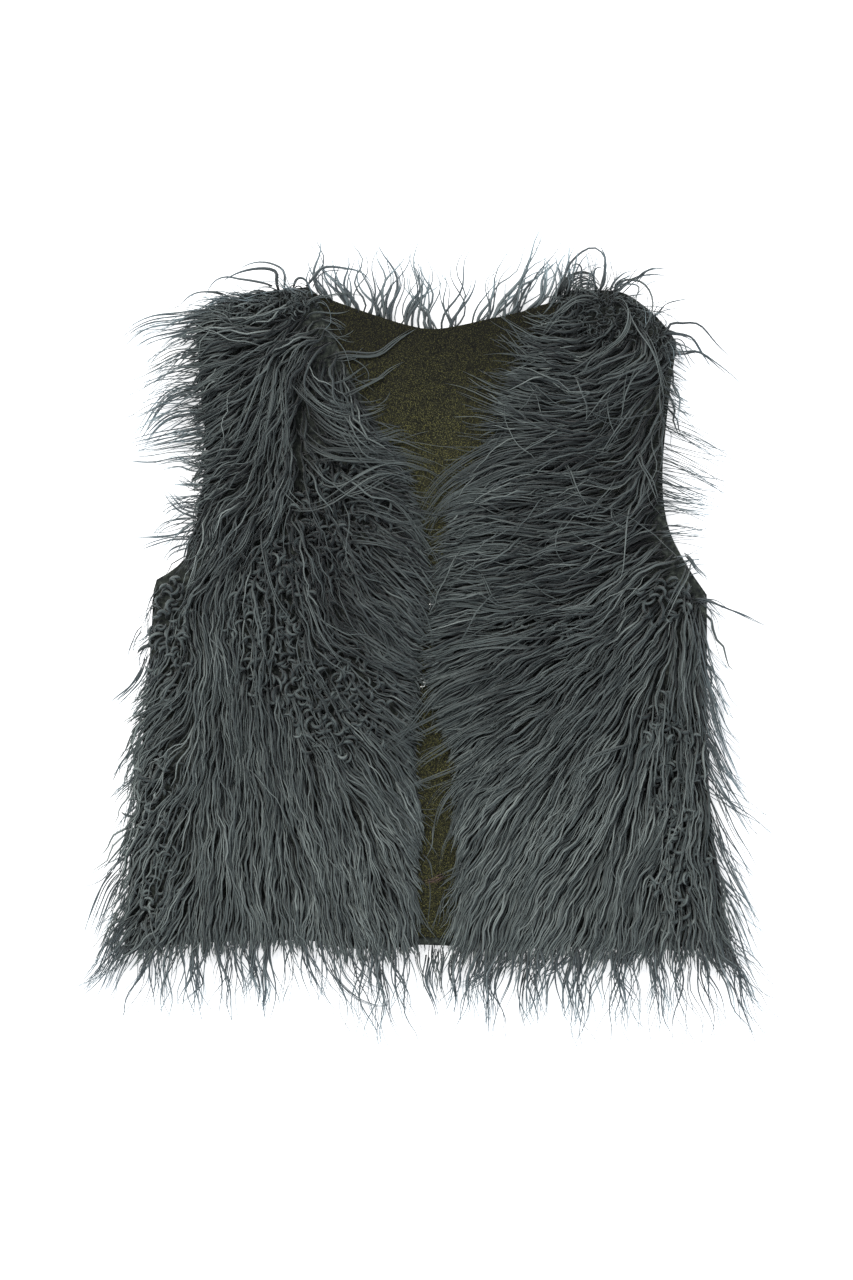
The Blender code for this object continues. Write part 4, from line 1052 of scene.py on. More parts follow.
# %% Edge wisps
WISPS = (
    # name, edge, stretch of it, which side is in, wisps, wisps in a tuft, strays in degrees, thickest, and
    # the table: share of the edge, direction in degrees, length, height of the tip, bend in degrees, wave
    ("left_hem", LEFT_RIM["hem"], (0.0, 1.0), 1, 180, 5, 8, 0.0018,
     ((0.0, 246, 0.06, 0.004, -8, 0.3), (0.12, 264, 0.06, 0.0035, 0, 0.3),
      (0.3, 269, 0.056, 0.0035, 0, 0.3), (0.55, 271, 0.056, 0.0035, 0, 0.3),
      (0.75, 284, 0.06, 0.0035, 0, 0.3), (0.9, 279, 0.066, 0.0035, 0, 0.3),
      (1.0, 272, 0.05, 0.004, 0, 0.3))),
    ("right_hem", RIGHT_RIM["hem"][::-1], (0.0, 1.0), 1, 200, 5, 8, 0.0018,
     ((0.0, 266, 0.062, 0.004, 0, 0.3), (0.25, 262, 0.07, 0.0035, 8, 0.3),
      (0.5, 266, 0.066, 0.0035, 4, 0.3), (0.75, 272, 0.064, 0.0035, 4, 0.3),
      (0.92, 285, 0.062, 0.0035, 8, 0.3), (1.0, 294, 0.06, 0.004, 8, 0.3))),
    ("left_side", smooth_line(LEFT_SIDE), (0.0, 1.0), -1, 110, 5, 9, 0.0013,
     ((0.0, 242, 0.058, 0.006, -10, 0.3), (0.2, 246, 0.052, 0.006, -10, 0.3),
      (0.5, 250, 0.042, 0.0065, -12, 0.3), (0.7, 254, 0.036, 0.0065, -12, 0.3),
      (0.9, 252, 0.028, 0.007, -10, 0.3), (1.0, 246, 0.018, 0.007, 0, 0.3))),
    ("right_side", smooth_line(RIGHT_SIDE), (0.0, 1.0), 1, 115, 5, 6, 0.0013,
     ((0.0, 298, 0.06, 0.006, 8, 0.2), (0.3, 301, 0.058, 0.006, 10, 0.2),
      (0.6, 298, 0.056, 0.0065, 12, 0.2), (0.85, 287, 0.05, 0.007, 10, 0.2),
      (1.0, 290, 0.026, 0.007, 0, 0.4))),
    ("left_armhole", smooth_line(LEFT_ARMHOLE), (0.22, 1.0), -1, 130, 4, 8, 0.0012,
     ((0.0, 215, 0.016, 0.0085, 10, 0.3), (0.1, 195, 0.034, 0.0085, 25, 0.2),
      (0.2, 183, 0.034, 0.008, 20, 0.2), (0.28, 150, 0.026, 0.008, -20, 0.2),
      (0.38, 165, 0.026, 0.008, 0, 0.2), (0.46, 178, 0.03, 0.008, 5, 0.2),
      (0.58, 184, 0.046, 0.008, 15, 0.2), (0.72, 188, 0.054, 0.008, 35, 0.2),
      (0.85, 190, 0.054, 0.008, 35, 0.2), (1.0, 186, 0.054, 0.0085, 25, 0.2))),
    ("right_armhole", smooth_line(RIGHT_ARMHOLE), (0.10, 1.0), 1, 150, 3, 6, 0.0009,
     ((0.0, 366, 0.01, 0.0085, 0, 0.1), (0.15, 364, 0.03, 0.008, 0, 0.1),
      (0.28, 355, 0.038, 0.008, 0, 0.1), (0.4, 344, 0.046, 0.008, 0, 0.1),
      (0.55, 331, 0.05, 0.008, 0, 0.1), (0.7, 333, 0.046, 0.008, 0, 0.1),
      (0.78, 322, 0.016, 0.008, 0, 0.1), (1.0, 332, 0.012, 0.0085, 0, 0.1))),
    ("left_shoulder", smooth_line(LEFT_SHOULDER), (0.0, 1.0), -1, 70, 4, 9, 0.0013,
     ((0.0, 183, 0.056, 0.011, 22, 0.2), (0.35, 182, 0.048, 0.012, 18, 0.2),
      (0.7, 172, 0.03, 0.013, 20, 0.4), (1.0, 140, 0.018, 0.013, 20, 0.6))),
    ("right_shoulder", smooth_line(RIGHT_SHOULDER), (0.0, 1.0), 1, 60, 3, 20, 0.0011,
     ((0.0, 330, 0.02, 0.012, -20, 0.3), (0.3, 20, 0.024, 0.014, -40, 0.4),
      (0.6, 50, 0.026, 0.014, -60, 0.5), (1.0, 110, 0.024, 0.014, 40, 0.5))),
    ("neck", smooth_line(BACK_NECK), (0.04, 0.98), -1, 100, 4, 10, 0.0030,
     ((0.0, 106, 0.042, 0.006, 0, 0.5), (0.15, 98, 0.054, 0.007, -5, 0.5), (0.3, 84, 0.066, 0.007, 0, 0.5),
      (0.5, 95, 0.066, 0.007, 0, 0.5), (0.62, 76, 0.062, 0.007, 0, 0.45),
      (0.75, 62, 0.064, 0.007, -5, 0.4), (0.9, 56, 0.056, 0.007, 10, 0.4), (1.0, 76, 0.04, 0.006, 10, 0.4))),
    ("left_v", smooth_line(LEFT_FRONT_EDGE), (0.50, 1.0), 1, 60, 4, 12, 0.0012,
     ((0.0, 322, 0.012, 0.0108, 0, 0.3), (0.25, 338, 0.02, 0.0108, 10, 0.3),
      (0.55, 345, 0.026, 0.011, 20, 0.3), (0.85, 350, 0.022, 0.011, 20, 0.4),
      (1.0, 370, 0.018, 0.0112, 0, 0.4))),
    ("right_v", smooth_line(RIGHT_FRONT_EDGE), (0.50, 1.0), -1, 90, 4, 9, 0.0012,
     ((0.0, 212, 0.014, 0.012, 0, 0.25), (0.25, 204, 0.026, 0.012, 15, 0.25),
      (0.5, 182, 0.034, 0.0112, -10, 0.25), (0.75, 166, 0.034, 0.0114, -8, 0.25),
      (0.9, 172, 0.026, 0.0114, -30, 0.25), (1.0, 200, 0.016, 0.0116, 0, 0.4))),
    ("left_gap", smooth_line(LEFT_FRONT_EDGE), (0.0, 0.45), 1, 46, 3, 14, 0.0010,
     ((0.0, 290, 0.018, 0.0108, 0, 0.3), (1.0, 312, 0.016, 0.0108, 0, 0.3))),
    ("right_gap", smooth_line(RIGHT_FRONT_EDGE), (0.0, 0.45), -1, 44, 3, 14, 0.0010,
     ((0.0, 250, 0.022, 0.0124, 10, 0.3), (1.0, 222, 0.022, 0.0124, 0, 0.3))),
)
WISP_RINGS = 12
WISP_LIMITS = np.array([(-0.2362, -0.0650), (0.2250, 0.4565)])  # lowest and highest x and y
WISP_THINNEST = 0.0004
NECK_ROOTS = 0.0045  # wisps at the neck spring from the back's pile, lower than the fronts' backing
ROOT_BAND = 0.007  # wisps are rooted up to this far inside the edge
TUFT_PULL = 0.75  # how much nearer to its tuft's middle a wisp's tip is than its root
WISP_FALL, WISP_ARCH = 1.4, 0.0022  # how late a wisp comes down to its tip, and how high it bows
TUFT_STRAY = 0.0022  # how far along the edge a wisp is rooted from the middle of its tuft


def kept_within(lines):
    """Draws in any line, about its root, that would lie past the limits."""
    off = lines - lines[:, :1]
    room = np.where(off > 0, WISP_LIMITS[1], WISP_LIMITS[0]) - lines[:, :1]
    share = np.clip(room / np.where(abs(off) < 1e-9, np.sign(room) * 1e-9, off), 0, 1).min(axis=(1, 2))
    return lines[:, :1] + off * share[:, None, None]


def wisps(name, edge, stretch, inward, count, in_tuft, strays, thickest, table, seed):
    """The wisps of one edge, in one mesh."""
    draw = np.random.default_rng(seed)
    table = np.array(table)
    tufts = max(count // in_tuft, 4)
    tuft = np.arange(count) % tufts if name == "neck" else draw.integers(0, tufts, count)
    tuft_share = (np.arange(tufts) + draw.uniform(0.1, 0.9, tufts)) / tufts
    tuft_turn = draw.normal(0, 1, tufts)
    tuft_long = draw.uniform(0.62, 1.1, tufts)
    tuft_phase = draw.uniform(0, 6, tufts)
    run_length = np.linalg.norm(np.diff(edge, axis=0), axis=1).sum() * (stretch[1] - stretch[0])
    share = np.clip(tuft_share[tuft] + draw.normal(0, TUFT_STRAY / run_length, count), 0, 1)
    places, run = at_shares(edge, stretch[0] + share * (stretch[1] - stretch[0]))
    side = np.column_stack([-run[:, 1], run[:, 0]]) * inward
    roots = places + side * draw.uniform(0.0, ROOT_BAND, count)[:, None]
    middles = at_shares(edge, stretch[0] + tuft_share[tuft] * (stretch[1] - stretch[0]))[0]
    direction, length, tip, bend, wave = (np.interp(share, table[:, 0], table[:, k]) for k in range(1, 6))
    heading = np.radians(direction + strays * (0.8 * tuft_turn[tuft] + draw.normal(0, 0.6, count)))
    lengths = length * tuft_long[tuft] * draw.uniform(0.65, 1.1, count)
    bend = np.radians(bend + strays * draw.normal(0, 1.4, count))
    wave = wave * draw.uniform(0.6, 1.4, count)
    wavelength = draw.uniform(0.030, 0.056, count)
    phases = tuft_phase[tuft] + draw.normal(0, 0.7, count)
    step = lengths / (WISP_RINGS - 1)
    line = [roots]
    for j in range(1, WISP_RINGS):
        reach = (j - 0.5) * step
        swing = wave * np.sin(2 * math.pi * reach / wavelength + phases)
        turn = heading + bend * (j - 0.5) / (WISP_RINGS - 1) + swing
        line.append(line[-1] + step[:, None] * np.column_stack([np.cos(turn), np.sin(turn)]))
    lines = np.stack(line, 1)
    u = np.linspace(0, 1, WISP_RINGS)
    lines -= (roots - middles)[:, None, :] * (TUFT_PULL * u**1.2)[None, :, None]
    lines = kept_within(lines)
    start = (NECK_ROOTS if name == "neck" else BACKING_TOP) + draw.uniform(0.0, 0.0040, count)
    ends = tip * draw.uniform(0.45, 1.35, count)
    heights = start[:, None] * (1 - u**WISP_FALL) + ends[:, None] * u**WISP_FALL
    heights = heights + (WISP_ARCH * np.sin(math.pi * u))[None]
    widest = np.where(draw.uniform(size=count) < 0.45, thickest * draw.uniform(0.65, 1.0, count),
                      thickest * draw.uniform(0.28, 0.60, count))
    widths = np.maximum(widest[:, None] * lock_width(WISP_RINGS, 1.1)[None], WISP_THINNEST)
    grey = 0.48 + draw.normal(0, 0.16, count)
    finish = FUR if name.endswith(("_v", "_gap")) else WISP
    return tubes(f"wisps_{name}", lines, np.maximum(heights, widths / 2 + OFF_TABLE), widths, grey, finish)


edge_pieces = {}
for number, row in enumerate(WISPS):
    edge_pieces[row[0]] = wisps(*row, 500 + number)

# %% [markdown]
# ### Locks laid one by one
#
# Some locks are so plain to see that they are laid one by one: the loops that stand off the shoulders, the
# bands that sweep over the open neck, the strands that hang by the armholes. A row gives how many locks run
# together, their width, how far the bundle spreads at its root and at its tip, all in mm, how high it rides
# on the pile, its grey, and the way it takes as x,y points in mm from the middle of the hem.

# %% Where the locks laid one by one run
LEFT_ON_COAT = (
    (6, 1.5, 4.3, 3.7, 1.15, 0.57, "-112,381 -127,375 -143,371 -158,371 -169,365 -180,360 -192,352"),
    (5, 1.4, 3.7, 3.1, 1.15, 0.55, "-109,369 -124,365 -140,362 -152,359 -168,351"),
    (6, 1.4, 5.0, 4.3, 1.1, 0.53, "-104,372 -118,362 -134,351 -149,343 -165,336 -175,326"),
    (6, 1.4, 4.3, 3.7, 1.1, 0.53, "-101,363 -112,350 -125,340 -140,332 -152,326 -168,322"),
    (7, 1.4, 5.0, 4.3, 1.0, 0.50, "-107,344 -118,334 -129,326 -140,320 -152,316 -168,312"),
    (5, 1.4, 3.7, 2.5, 1.2, 0.61, "-101,375 -102,363 -106,350 -111,338 -116,326 -121,313 -125,303"),
    (5, 1.4, 3.7, 2.5, 1.2, 0.61, "-96,375 -99,361 -104,347 -106,334 -112,319 -118,307 -129,293"),
    (5, 1.4, 3.7, 3.1, 1.2, 0.59, "-91,375 -95,360 -96,344 -98,332 -102,316 -104,303 -108,292"),
    (4, 1.2, 3.7, 3.1, 1.2, 0.57, "-88,367 -91,350 -90,335 -89,323 -91,307 -96,295"),
    (5, 1.4, 3.7, 2.5, 1.2, 0.59, "-90,359 -82,347 -73,338 -62,331 -49,328 -34,331 -24,337"),
    (5, 1.5, 4.3, 3.1, 1.2, 0.59, "-80,359 -73,349 -65,341 -56,337 -49,336 -41,340"),
    (3, 1.4, 3.1, 1.9, 1.25, 0.62, "-62,344 -53,342 -44,347 -32,353 -24,360 -14,365"),
    (9, 1.4, 6.2, 5.6, 1.15, 0.53, "-77,340 -67,329 -56,321 -42,318 -28,320 -18,324 -4,319"),
    (8, 1.4, 5.6, 5.0, 1.15, 0.55, "-83,329 -76,319 -65,311 -50,307 -31,306 -13,305 3,299"),
    (6, 1.3, 4.3, 3.7, 1.15, 0.55, "-71,318 -59,314 -45,314 -30,316 -18,315 -8,311 6,305"),
    (4, 1.2, 2.5, 3.7, 1.3, 0.69, "-94,279 -82,274 -68,275 -55,283 -42,292 -28,298 -13,295 1,287"),
    (3, 1.2, 1.9, 3.1, 1.3, 0.72, "-73,300 -67,289 -57,287 -46,293 -32,300 -18,303 -3,300 6,293"),
    (2, 1.2, 1.9, 1.9, 1.25, 0.70, "-62,274 -50,280 -39,284 -29,290 -20,294"),
    (5, 1.2, 3.7, 3.1, 1.2, 0.57, "-57,272 -45,275 -32,272 -19,267 -4,269 6,272"),
    (4, 1.1, 3.1, 2.5, 1.2, 0.57, "-49,288 -36,284 -24,279 -15,274 -9,267"),
    (6, 1.2, 4.3, 2.5, 1.15, 0.55, "-57,257 -42,256 -28,253 -16,249 -5,244"),
    (5, 1.2, 3.1, 1.9, 1.15, 0.53, "-26,267 -16,262 -10,256 -6,247"),
    (5, 1.3, 3.7, 1.9, 1.2, 0.61, "-36,249 -24,238 -13,227 -1,217 6,210"),
    (4, 1.3, 3.1, 1.9, 1.2, 0.59, "-20,249 -11,241 -3,230 5,218 10,211"),
    (6, 1.3, 4.3, 1.9, 1.2, 0.61, "-31,223 -20,214 -10,204 -3,195 1,185"),
    (2, 1.1, 1.9, 1.9, 1.3, 0.72, "-77,307 -70,298 -65,290 -55,288 -42,293"),
    (2, 1.1, 1.9, 1.9, 1.3, 0.70, "-92,294 -89,285 -83,278 -77,272"),
    (3, 1.2, 2.5, 1.9, 1.3, 0.72, "-104,279 -108,267 -114,251 -123,242 -133,233 -139,223"),
    (2, 1.2, 1.9, 1.9, 1.3, 0.70, "-102,268 -103,254 -101,239 -96,223 -91,213 -82,200 -80,189"),
    (3, 1.4, 2.5, 2.5, 1.3, 0.74, "-80,235 -77,222 -73,210 -68,197 -60,186 -52,175"),
    (2, 1.1, 1.2, 1.2, 1.3, 0.70, "-176,70 -170,75 -166,80 -163,86"),
    (3, 1.4, 2.5, 2.5, 1.2, 0.72, "-173,28 -174,16 -170,3 -164,-4 -158,-7"),
    (2, 1.4, 1.2, 1.2, 1.3, 0.56, "-81,392 -77,398 -72,403 -63,405 -55,407 -46,406 -40,404"),
    (2, 1.5, 0.6, 1.2, 1.3, 0.56, "-78,390 -73,394 -67,395 -59,394 -51,395 -45,400"),
    (1, 1.2, 0.0, 0.0, 1.3, 0.56, "-77,382 -71,385 -65,385 -60,380 -55,375 -51,367 -50,361 -44,352"),
    (4, 1.6, 1.9, 1.2, 1.2, 0.51, "-67,365 -60,368 -52,370 -42,369 -32,370 -24,377 -15,383 -6,388"),
    (1, 1.0, 0.0, 0.0, 1.3, 0.55, "-54,368 -47,366 -41,362 -38,357 -39,352"),
    (3, 1.4, 1.9, 1.2, 1.2, 0.56, "-78,357 -68,352 -57,352 -50,356 -44,361 -36,365"),
    (4, 1.1, 3.1, 2.5, 1.2, 0.56, "-81,309 -62,311 -43,310 -26,310 -10,307 3,303 13,297 21,292"),
    (4, 1.1, 3.1, 2.5, 1.2, 0.54, "-81,300 -62,303 -46,302 -31,302 -15,301 -3,298 6,292 15,286"),
    (1, 0.9, 0.0, 0.0, 1.2, 0.66, "-34,309 -28,313 -19,315 -8,315 1,313 12,312 26,312 36,311"),
    (3, 1.1, 2.5, 1.9, 1.2, 0.60, "-53,267 -42,278 -31,287 -19,293 -10,297 -0,295 6,289 10,279"),
    (3, 1.2, 2.5, 1.9, 1.25, 0.64, "-67,274 -62,278 -50,286 -34,293 -21,297 -14,298"),
    (4, 1.1, 3.1, 1.9, 1.2, 0.56, "-37,288 -26,281 -15,272 -8,261 -2,253 5,242 8,233"),
    (2, 1.0, 1.9, 1.9, 1.25, 0.62, "-42,257 -31,259 -15,262 -3,267 6,273 17,272 26,273"),
    (6, 1.2, 5.0, 2.5, 1.15, 0.56, "-50,254 -34,242 -19,226 -6,211 -0,192 -1,183"),
    (6, 1.2, 5.0, 2.5, 1.15, 0.56, "-62,230 -44,217 -25,199 -13,186 -6,180"),
    (5, 1.2, 4.3, 2.5, 1.15, 0.56, "-49,202 -34,192 -20,183 -10,179 -4,180"),
)
LEFT_FREE = (
    (1, 2.9, 0.0, 0.0, 1.3, 0.30, "-94,409 -96,416 -94,420 -97,422 -104,423 -113,422 -122,419 -130,414"),
    (1, 2.0, 0.0, 0.0, 1.3, 0.30, "-91,409 -90,417 -91,422 -96,425 -103,427 -112,426 -121,421"),
    (1, 2.0, 0.0, 0.0, 1.2, 0.35,
     "-98,412 -104,414 -111,415 -114,416 -119,416 -125,418 -133,416 -137,411 -140,404"),
    (1, 2.2, 0.0, 0.0, 1.3, 0.30, "-85,411 -83,416 -80,417 -77,415 -74,409 -73,405"),
    (1, 2.4, 0.0, 0.0, 1.3, 0.35, "-77,412 -73,416 -70,421 -66,424 -59,424 -51,423 -45,422 -40,419 -36,413"),
    (1, 1.8, 0.0, 0.0, 1.3, 0.35, "-73,411 -70,417 -65,421 -56,422 -47,423"),
    (2, 1.4, 1.9, 2.5, 1.2, 0.40, "-125,406 -134,409 -143,409 -150,406 -156,401 -161,398"),
    (1, 1.2, 0.0, 0.0, 1.3, 0.55, "-70,404 -65,401 -62,395 -62,388 -66,384"),
    (10, 1.4, 4.3, 4.3, 1.0, 0.42, "-127,393 -143,393 -158,391 -173,390 -184,385 -192,378 -199,373"),
    (6, 1.4, 2.5, 3.1, 1.0, 0.42, "-132,388 -145,386 -160,383 -174,380 -184,374 -190,366"),
    (4, 1.1, 1.9, 2.5, 1.0, 0.42, "-140,377 -149,380 -158,380 -165,375 -171,371"),
    (3, 1.2, 1.9, 2.5, 1.0, 0.42, "-140,365 -150,363 -160,360 -171,357 -183,354"),
    (10, 1.1, 5.0, 5.6, 0.9, 0.42, "-140,350 -152,349 -163,344 -171,336 -176,328 -181,319 -186,313"),
    (9, 1.1, 3.7, 5.0, 0.9, 0.42, "-137,336 -150,336 -163,333 -173,326 -179,319 -184,310"),
    (10, 1.1, 5.0, 5.6, 0.9, 0.42, "-135,323 -148,320 -160,318 -173,315 -184,312 -195,309"),
    (10, 1.0, 6.2, 5.0, 0.9, 0.42, "-137,310 -149,309 -160,308 -173,306 -185,306 -197,306"),
    (6, 0.9, 3.7, 3.7, 0.9, 0.42, "-138,298 -148,299 -156,302 -166,300 -176,297"),
    (5, 0.9, 5.0, 2.5, 0.9, 0.42, "-139,285 -149,289 -156,293 -163,293"),
    (7, 1.2, 5.0, 1.9, 0.9, 0.42, "-135,271 -145,272 -154,275 -160,281 -164,287 -166,293"),
    (5, 0.9, 3.7, 3.1, 0.9, 0.42, "-138,279 -149,279 -158,278 -168,279"),
    (5, 1.1, 3.1, 1.9, 0.9, 0.42, "-137,264 -147,266 -158,266 -166,263 -171,257 -175,249"),
    (5, 1.0, 3.7, 3.7, 0.9, 0.42, "-137,258 -147,260 -155,258 -164,256 -175,256 -189,256"),
    (5, 1.1, 2.5, 3.1, 0.9, 0.42, "-139,253 -150,254 -160,254 -170,251 -180,247 -190,243"),
    (4, 1.0, 3.1, 1.9, 0.9, 0.42, "-143,251 -153,251 -160,248 -165,242 -168,235"),
    (8, 1.2, 1.9, 3.1, 0.9, 0.42, "-175,185 -178,175 -183,166 -189,160 -195,155 -201,148"),
    (4, 0.9, 2.5, 3.1, 0.9, 0.42, "-178,202 -183,195 -186,187 -187,179"),
    (5, 1.0, 2.5, 3.1, 0.9, 0.42, "-180,129 -186,123 -191,117 -196,109 -200,102"),
    (5, 1.0, 2.5, 3.1, 0.9, 0.42, "-178,111 -185,104 -191,99 -196,93 -201,86"),
    (12, 1.2, 5.6, 5.6, 0.9, 0.42, "-191,51 -199,41 -204,31 -209,18 -214,1"),
    (12, 1.2, 5.6, 4.3, 0.9, 0.42, "-189,24 -195,10 -201,-3 -206,-13 -215,-22 -226,-30"),
    (8, 1.2, 4.3, 3.7, 0.9, 0.42, "-183,13 -189,0 -195,-12 -200,-23 -206,-33"),
    (4, 1.9, 1.2, 0.6, 1.0, 0.25, "-101,8 -101,-3 -103,-15 -103,-26 -104,-37 -102,-47"),
    (3, 1.1, 1.9, 1.2, 1.0, 0.40, "-145,1 -143,-11 -140,-21 -145,-26 -152,-32 -156,-38"),
    (3, 1.0, 1.9, 1.9, 1.0, 0.40, "-125,9 -124,-3 -127,-15 -125,-28 -127,-40"),
    (4, 1.1, 2.5, 1.9, 1.0, 0.40, "-118,6 -113,-4 -107,-12 -112,-21 -118,-30"),
    (3, 1.0, 1.9, 1.9, 1.0, 0.40, "-81,6 -78,-6 -73,-18 -67,-30 -62,-38"),
    (8, 0.8, 9.0, 7.0, 1.0, 0.50, "-58,-3 -53,-15 -45,-24 -36,-29 -26,-30 -19,-26"),
    (3, 1.1, 1.9, 2.5, 1.0, 0.40, "-31,-9 -29,-22 -26,-34 -24,-43 -18,-53"),
)
RIGHT_ON_COAT = (
    (1, 1.8, 0.0, 0.0, 1.3, 0.60, "113,408 118,415 125,416 132,414 136,409 138,402 137,395 134,388 130,382"),
    (1, 1.8, 0.0, 0.0, 1.3, 0.66, "113,404 119,412 126,413 130,411 127,404 129,396"),
    (20, 1.1, 12.4, 6.2, 1.2, 0.46, "96,319 80,313 62,310 46,308 31,302 17,294 6,285 -1,275 -6,261 -8,249"),
    (4, 1.4, 3.1, 2.5, 1.25, 0.56, "56,283 40,284 25,285 13,282 5,274 0,266"),
    (4, 1.2, 3.1, 2.5, 1.25, 0.56, "51,267 38,272 30,277 20,277 10,274 3,269"),
    (7, 1.4, 5.0, 3.1, 1.2, 0.56, "80,257 62,259 46,262 31,266 20,264 9,259 1,254 -5,248"),
    (6, 1.4, 5.0, 2.5, 1.15, 0.54, "80,244 62,249 43,253 25,251 9,248 -4,246"),
    (5, 1.2, 3.7, 3.1, 1.2, 0.54, "80,335 62,334 46,336 34,341 20,347 5,351"),
    (5, 1.2, 3.7, 3.1, 1.2, 0.54, "80,342 65,341 51,344 38,349 27,355 17,359"),
    (4, 1.1, 3.1, 3.1, 1.2, 0.52, "80,354 65,354 52,355 42,357 31,359"),
    (4, 1.1, 3.1, 3.1, 1.2, 0.52, "83,365 68,364 56,366 43,368 31,367"),
    (4, 1.0, 2.5, 3.1, 1.2, 0.52, "80,375 68,377 57,381 49,386 46,392"),
    (6, 1.2, 3.7, 3.7, 1.2, 0.54, "80,323 62,323 46,323 31,323 13,326"),
    (5, 1.2, 3.7, 3.7, 1.2, 0.54, "80,315 65,315 49,315 34,313 18,314"),
    (3, 1.6, 1.2, 1.2, 1.4, 0.70, "109,398 103,403 94,404 87,401 79,395 73,386 69,377"),
    (2, 1.2, 1.2, 1.9, 1.4, 0.66, "108,397 99,401 90,401 83,395 75,388 70,381 62,378"),
    (2, 1.1, 1.2, 1.2, 1.35, 0.66, "82,411 88,411 95,409 101,406 105,400"),
    (2, 1.1, 1.2, 1.2, 1.4, 0.72, "121,403 124,392 129,382 135,375 140,365 143,352 145,339 143,328"),
    (3, 1.4, 1.9, 1.9, 1.4, 0.66, "113,406 115,403 121,395 121,385 116,377 108,372 100,365 92,359"),
    (1, 1.2, 0.0, 0.0, 1.4, 0.60, "142,371 139,365 127,360 123,352 122,347"),
    (2, 1.2, 1.2, 1.2, 1.35, 0.66, "126,378 125,367 116,360 106,354 102,347"),
    (1, 1.3, 0.0, 0.0, 1.35, 0.60, "115,375 105,372 96,364 85,357 73,354"),
    (2, 1.4, 1.2, 1.2, 1.4, 0.68, "125,392 132,382 137,372 142,359 147,346 150,335"),
    (1, 1.4, 0.0, 0.0, 1.4, 0.70, "105,371 113,375 119,382 122,392 120,402 113,404"),
    (2, 1.2, 1.9, 1.2, 1.35, 0.62, "118,375 109,370 100,365 96,359 92,350"),
    (1, 1.2, 0.0, 0.0, 1.4, 0.66, "142,367 139,364 130,359 125,354 120,344 118,332 115,323"),
    (2, 1.2, 1.9, 1.9, 1.35, 0.64, "135,346 127,338 119,326 110,314 104,303"),
    (1, 1.2, 0.0, 0.0, 1.35, 0.66, "127,357 118,351 108,344 101,335 94,326"),
    (1, 1.2, 0.0, 0.0, 1.35, 0.64, "109,344 109,335 111,325 116,314"),
    (2, 1.1, 1.9, 1.9, 1.35, 0.62, "87,359 92,345 95,335 94,323"),
    (3, 1.2, 2.5, 1.9, 1.35, 0.64, "80,309 85,298 89,287 95,277 101,269"),
    (2, 1.1, 1.9, 1.2, 1.35, 0.62, "118,297 111,285 104,277 98,267 93,257"),
    (1, 1.6, 0.0, 0.0, 1.4, 0.74, "130,280 124,277 121,267 120,254 119,242 118,233 115,226"),
    (2, 1.5, 1.2, 1.2, 1.4, 0.70, "128,311 130,300 135,292 139,283 142,272"),
    (1, 1.5, 0.0, 0.0, 1.4, 0.74,
     "144,330 139,324 136,318 137,309 141,300 137,292 133,284 136,276 141,271 146,267"),
    (1, 1.1, 0.0, 0.0, 1.3, 0.70, "135,316 136,323 139,326 144,329"),
    (2, 1.1, 1.9, 1.9, 1.3, 0.62, "113,279 111,272 114,264 119,259"),
    (3, 1.2, 2.5, 1.9, 1.3, 0.60, "147,254 139,247 130,238 118,233 105,233"),
    (3, 1.4, 1.9, 1.9, 1.35, 0.68, "161,242 157,231 152,222 147,213 144,205"),
    (3, 1.2, 1.9, 1.9, 1.35, 0.66, "158,223 157,213 160,204 162,192 163,180"),
    (2, 1.1, 1.2, 1.2, 1.3, 0.62, "115,194 114,183 109,175 106,165 108,156"),
    (4, 1.2, 3.1, 3.1, 1.3, 0.64, "130,132 118,129 105,125 93,119 82,111"),
    (2, 1.1, 1.9, 1.2, 1.35, 0.66, "48,226 39,222 33,217 27,210 23,201 18,192 13,186"),
    (2, 1.1, 1.2, 1.2, 1.35, 0.64, "28,238 34,227 39,217 48,210"),
    (1, 1.0, 0.0, 0.0, 1.35, 0.62, "84,267 79,261 77,253 78,245 84,238"),
    (8, 1.3, 5.6, 2.5, 1.2, 0.56, "80,217 62,216 43,213 25,216 9,216 -1,213"),
    (6, 1.3, 5.0, 3.1, 1.2, 0.54, "80,192 59,191 40,191 21,187 9,182 -1,178"),
    (6, 1.2, 3.7, 2.5, 1.2, 0.56, "43,175 30,173 17,168 6,159 0,148"),
    (3, 1.4, 1.9, 1.9, 1.3, 0.64, "158,132 160,120 158,108 160,96 158,84"),
    (10, 1.1, 7.4, 3.7, 1.2, 0.46, "96,303 71,303 49,298 31,290 15,284 6,277 -1,267 -6,254"),
    (8, 1.1, 7.4, 3.7, 1.2, 0.44, "99,285 74,288 51,287 31,283 15,279 5,272 -2,261 -6,247"),
    (6, 1.1, 5.0, 2.5, 1.2, 0.50, "90,273 68,279 46,281 25,279 11,275 1,267 -4,254"),
    (6, 1.1, 5.0, 2.5, 1.15, 0.56, "87,257 62,260 40,262 23,261 9,257 -1,251 -6,244"),
    (5, 1.1, 4.3, 2.5, 1.15, 0.56, "87,247 62,249 37,251 18,250 6,246 -4,241"),
    (6, 1.2, 5.0, 2.5, 1.15, 0.56, "80,206 56,197 34,192 15,189 3,185 -6,179"),
    (12, 1.4, 3.7, 2.5, 1.1, 0.22, "82,404 84,411 89,416 95,418 100,416 104,409"),
    (10, 1.4, 3.7, 2.5, 1.1, 0.22, "88,403 91,411 96,414 103,412 106,406"),
    (8, 1.3, 5.6, 4.0, 1.65, 0.58, "56,179 37,175 18,169 6,163 -2,154 -10,144 -18,134 -27,126"),
    (8, 1.3, 5.6, 4.0, 1.6, 0.56, "59,163 43,158 21,150 5,142 -5,137 -15,133 -24,128 -34,121"),
    (6, 1.3, 5.0, 3.4, 1.5, 0.56, "59,150 43,146 25,138 12,129 3,123 -5,118 -12,110 -18,101"),
)
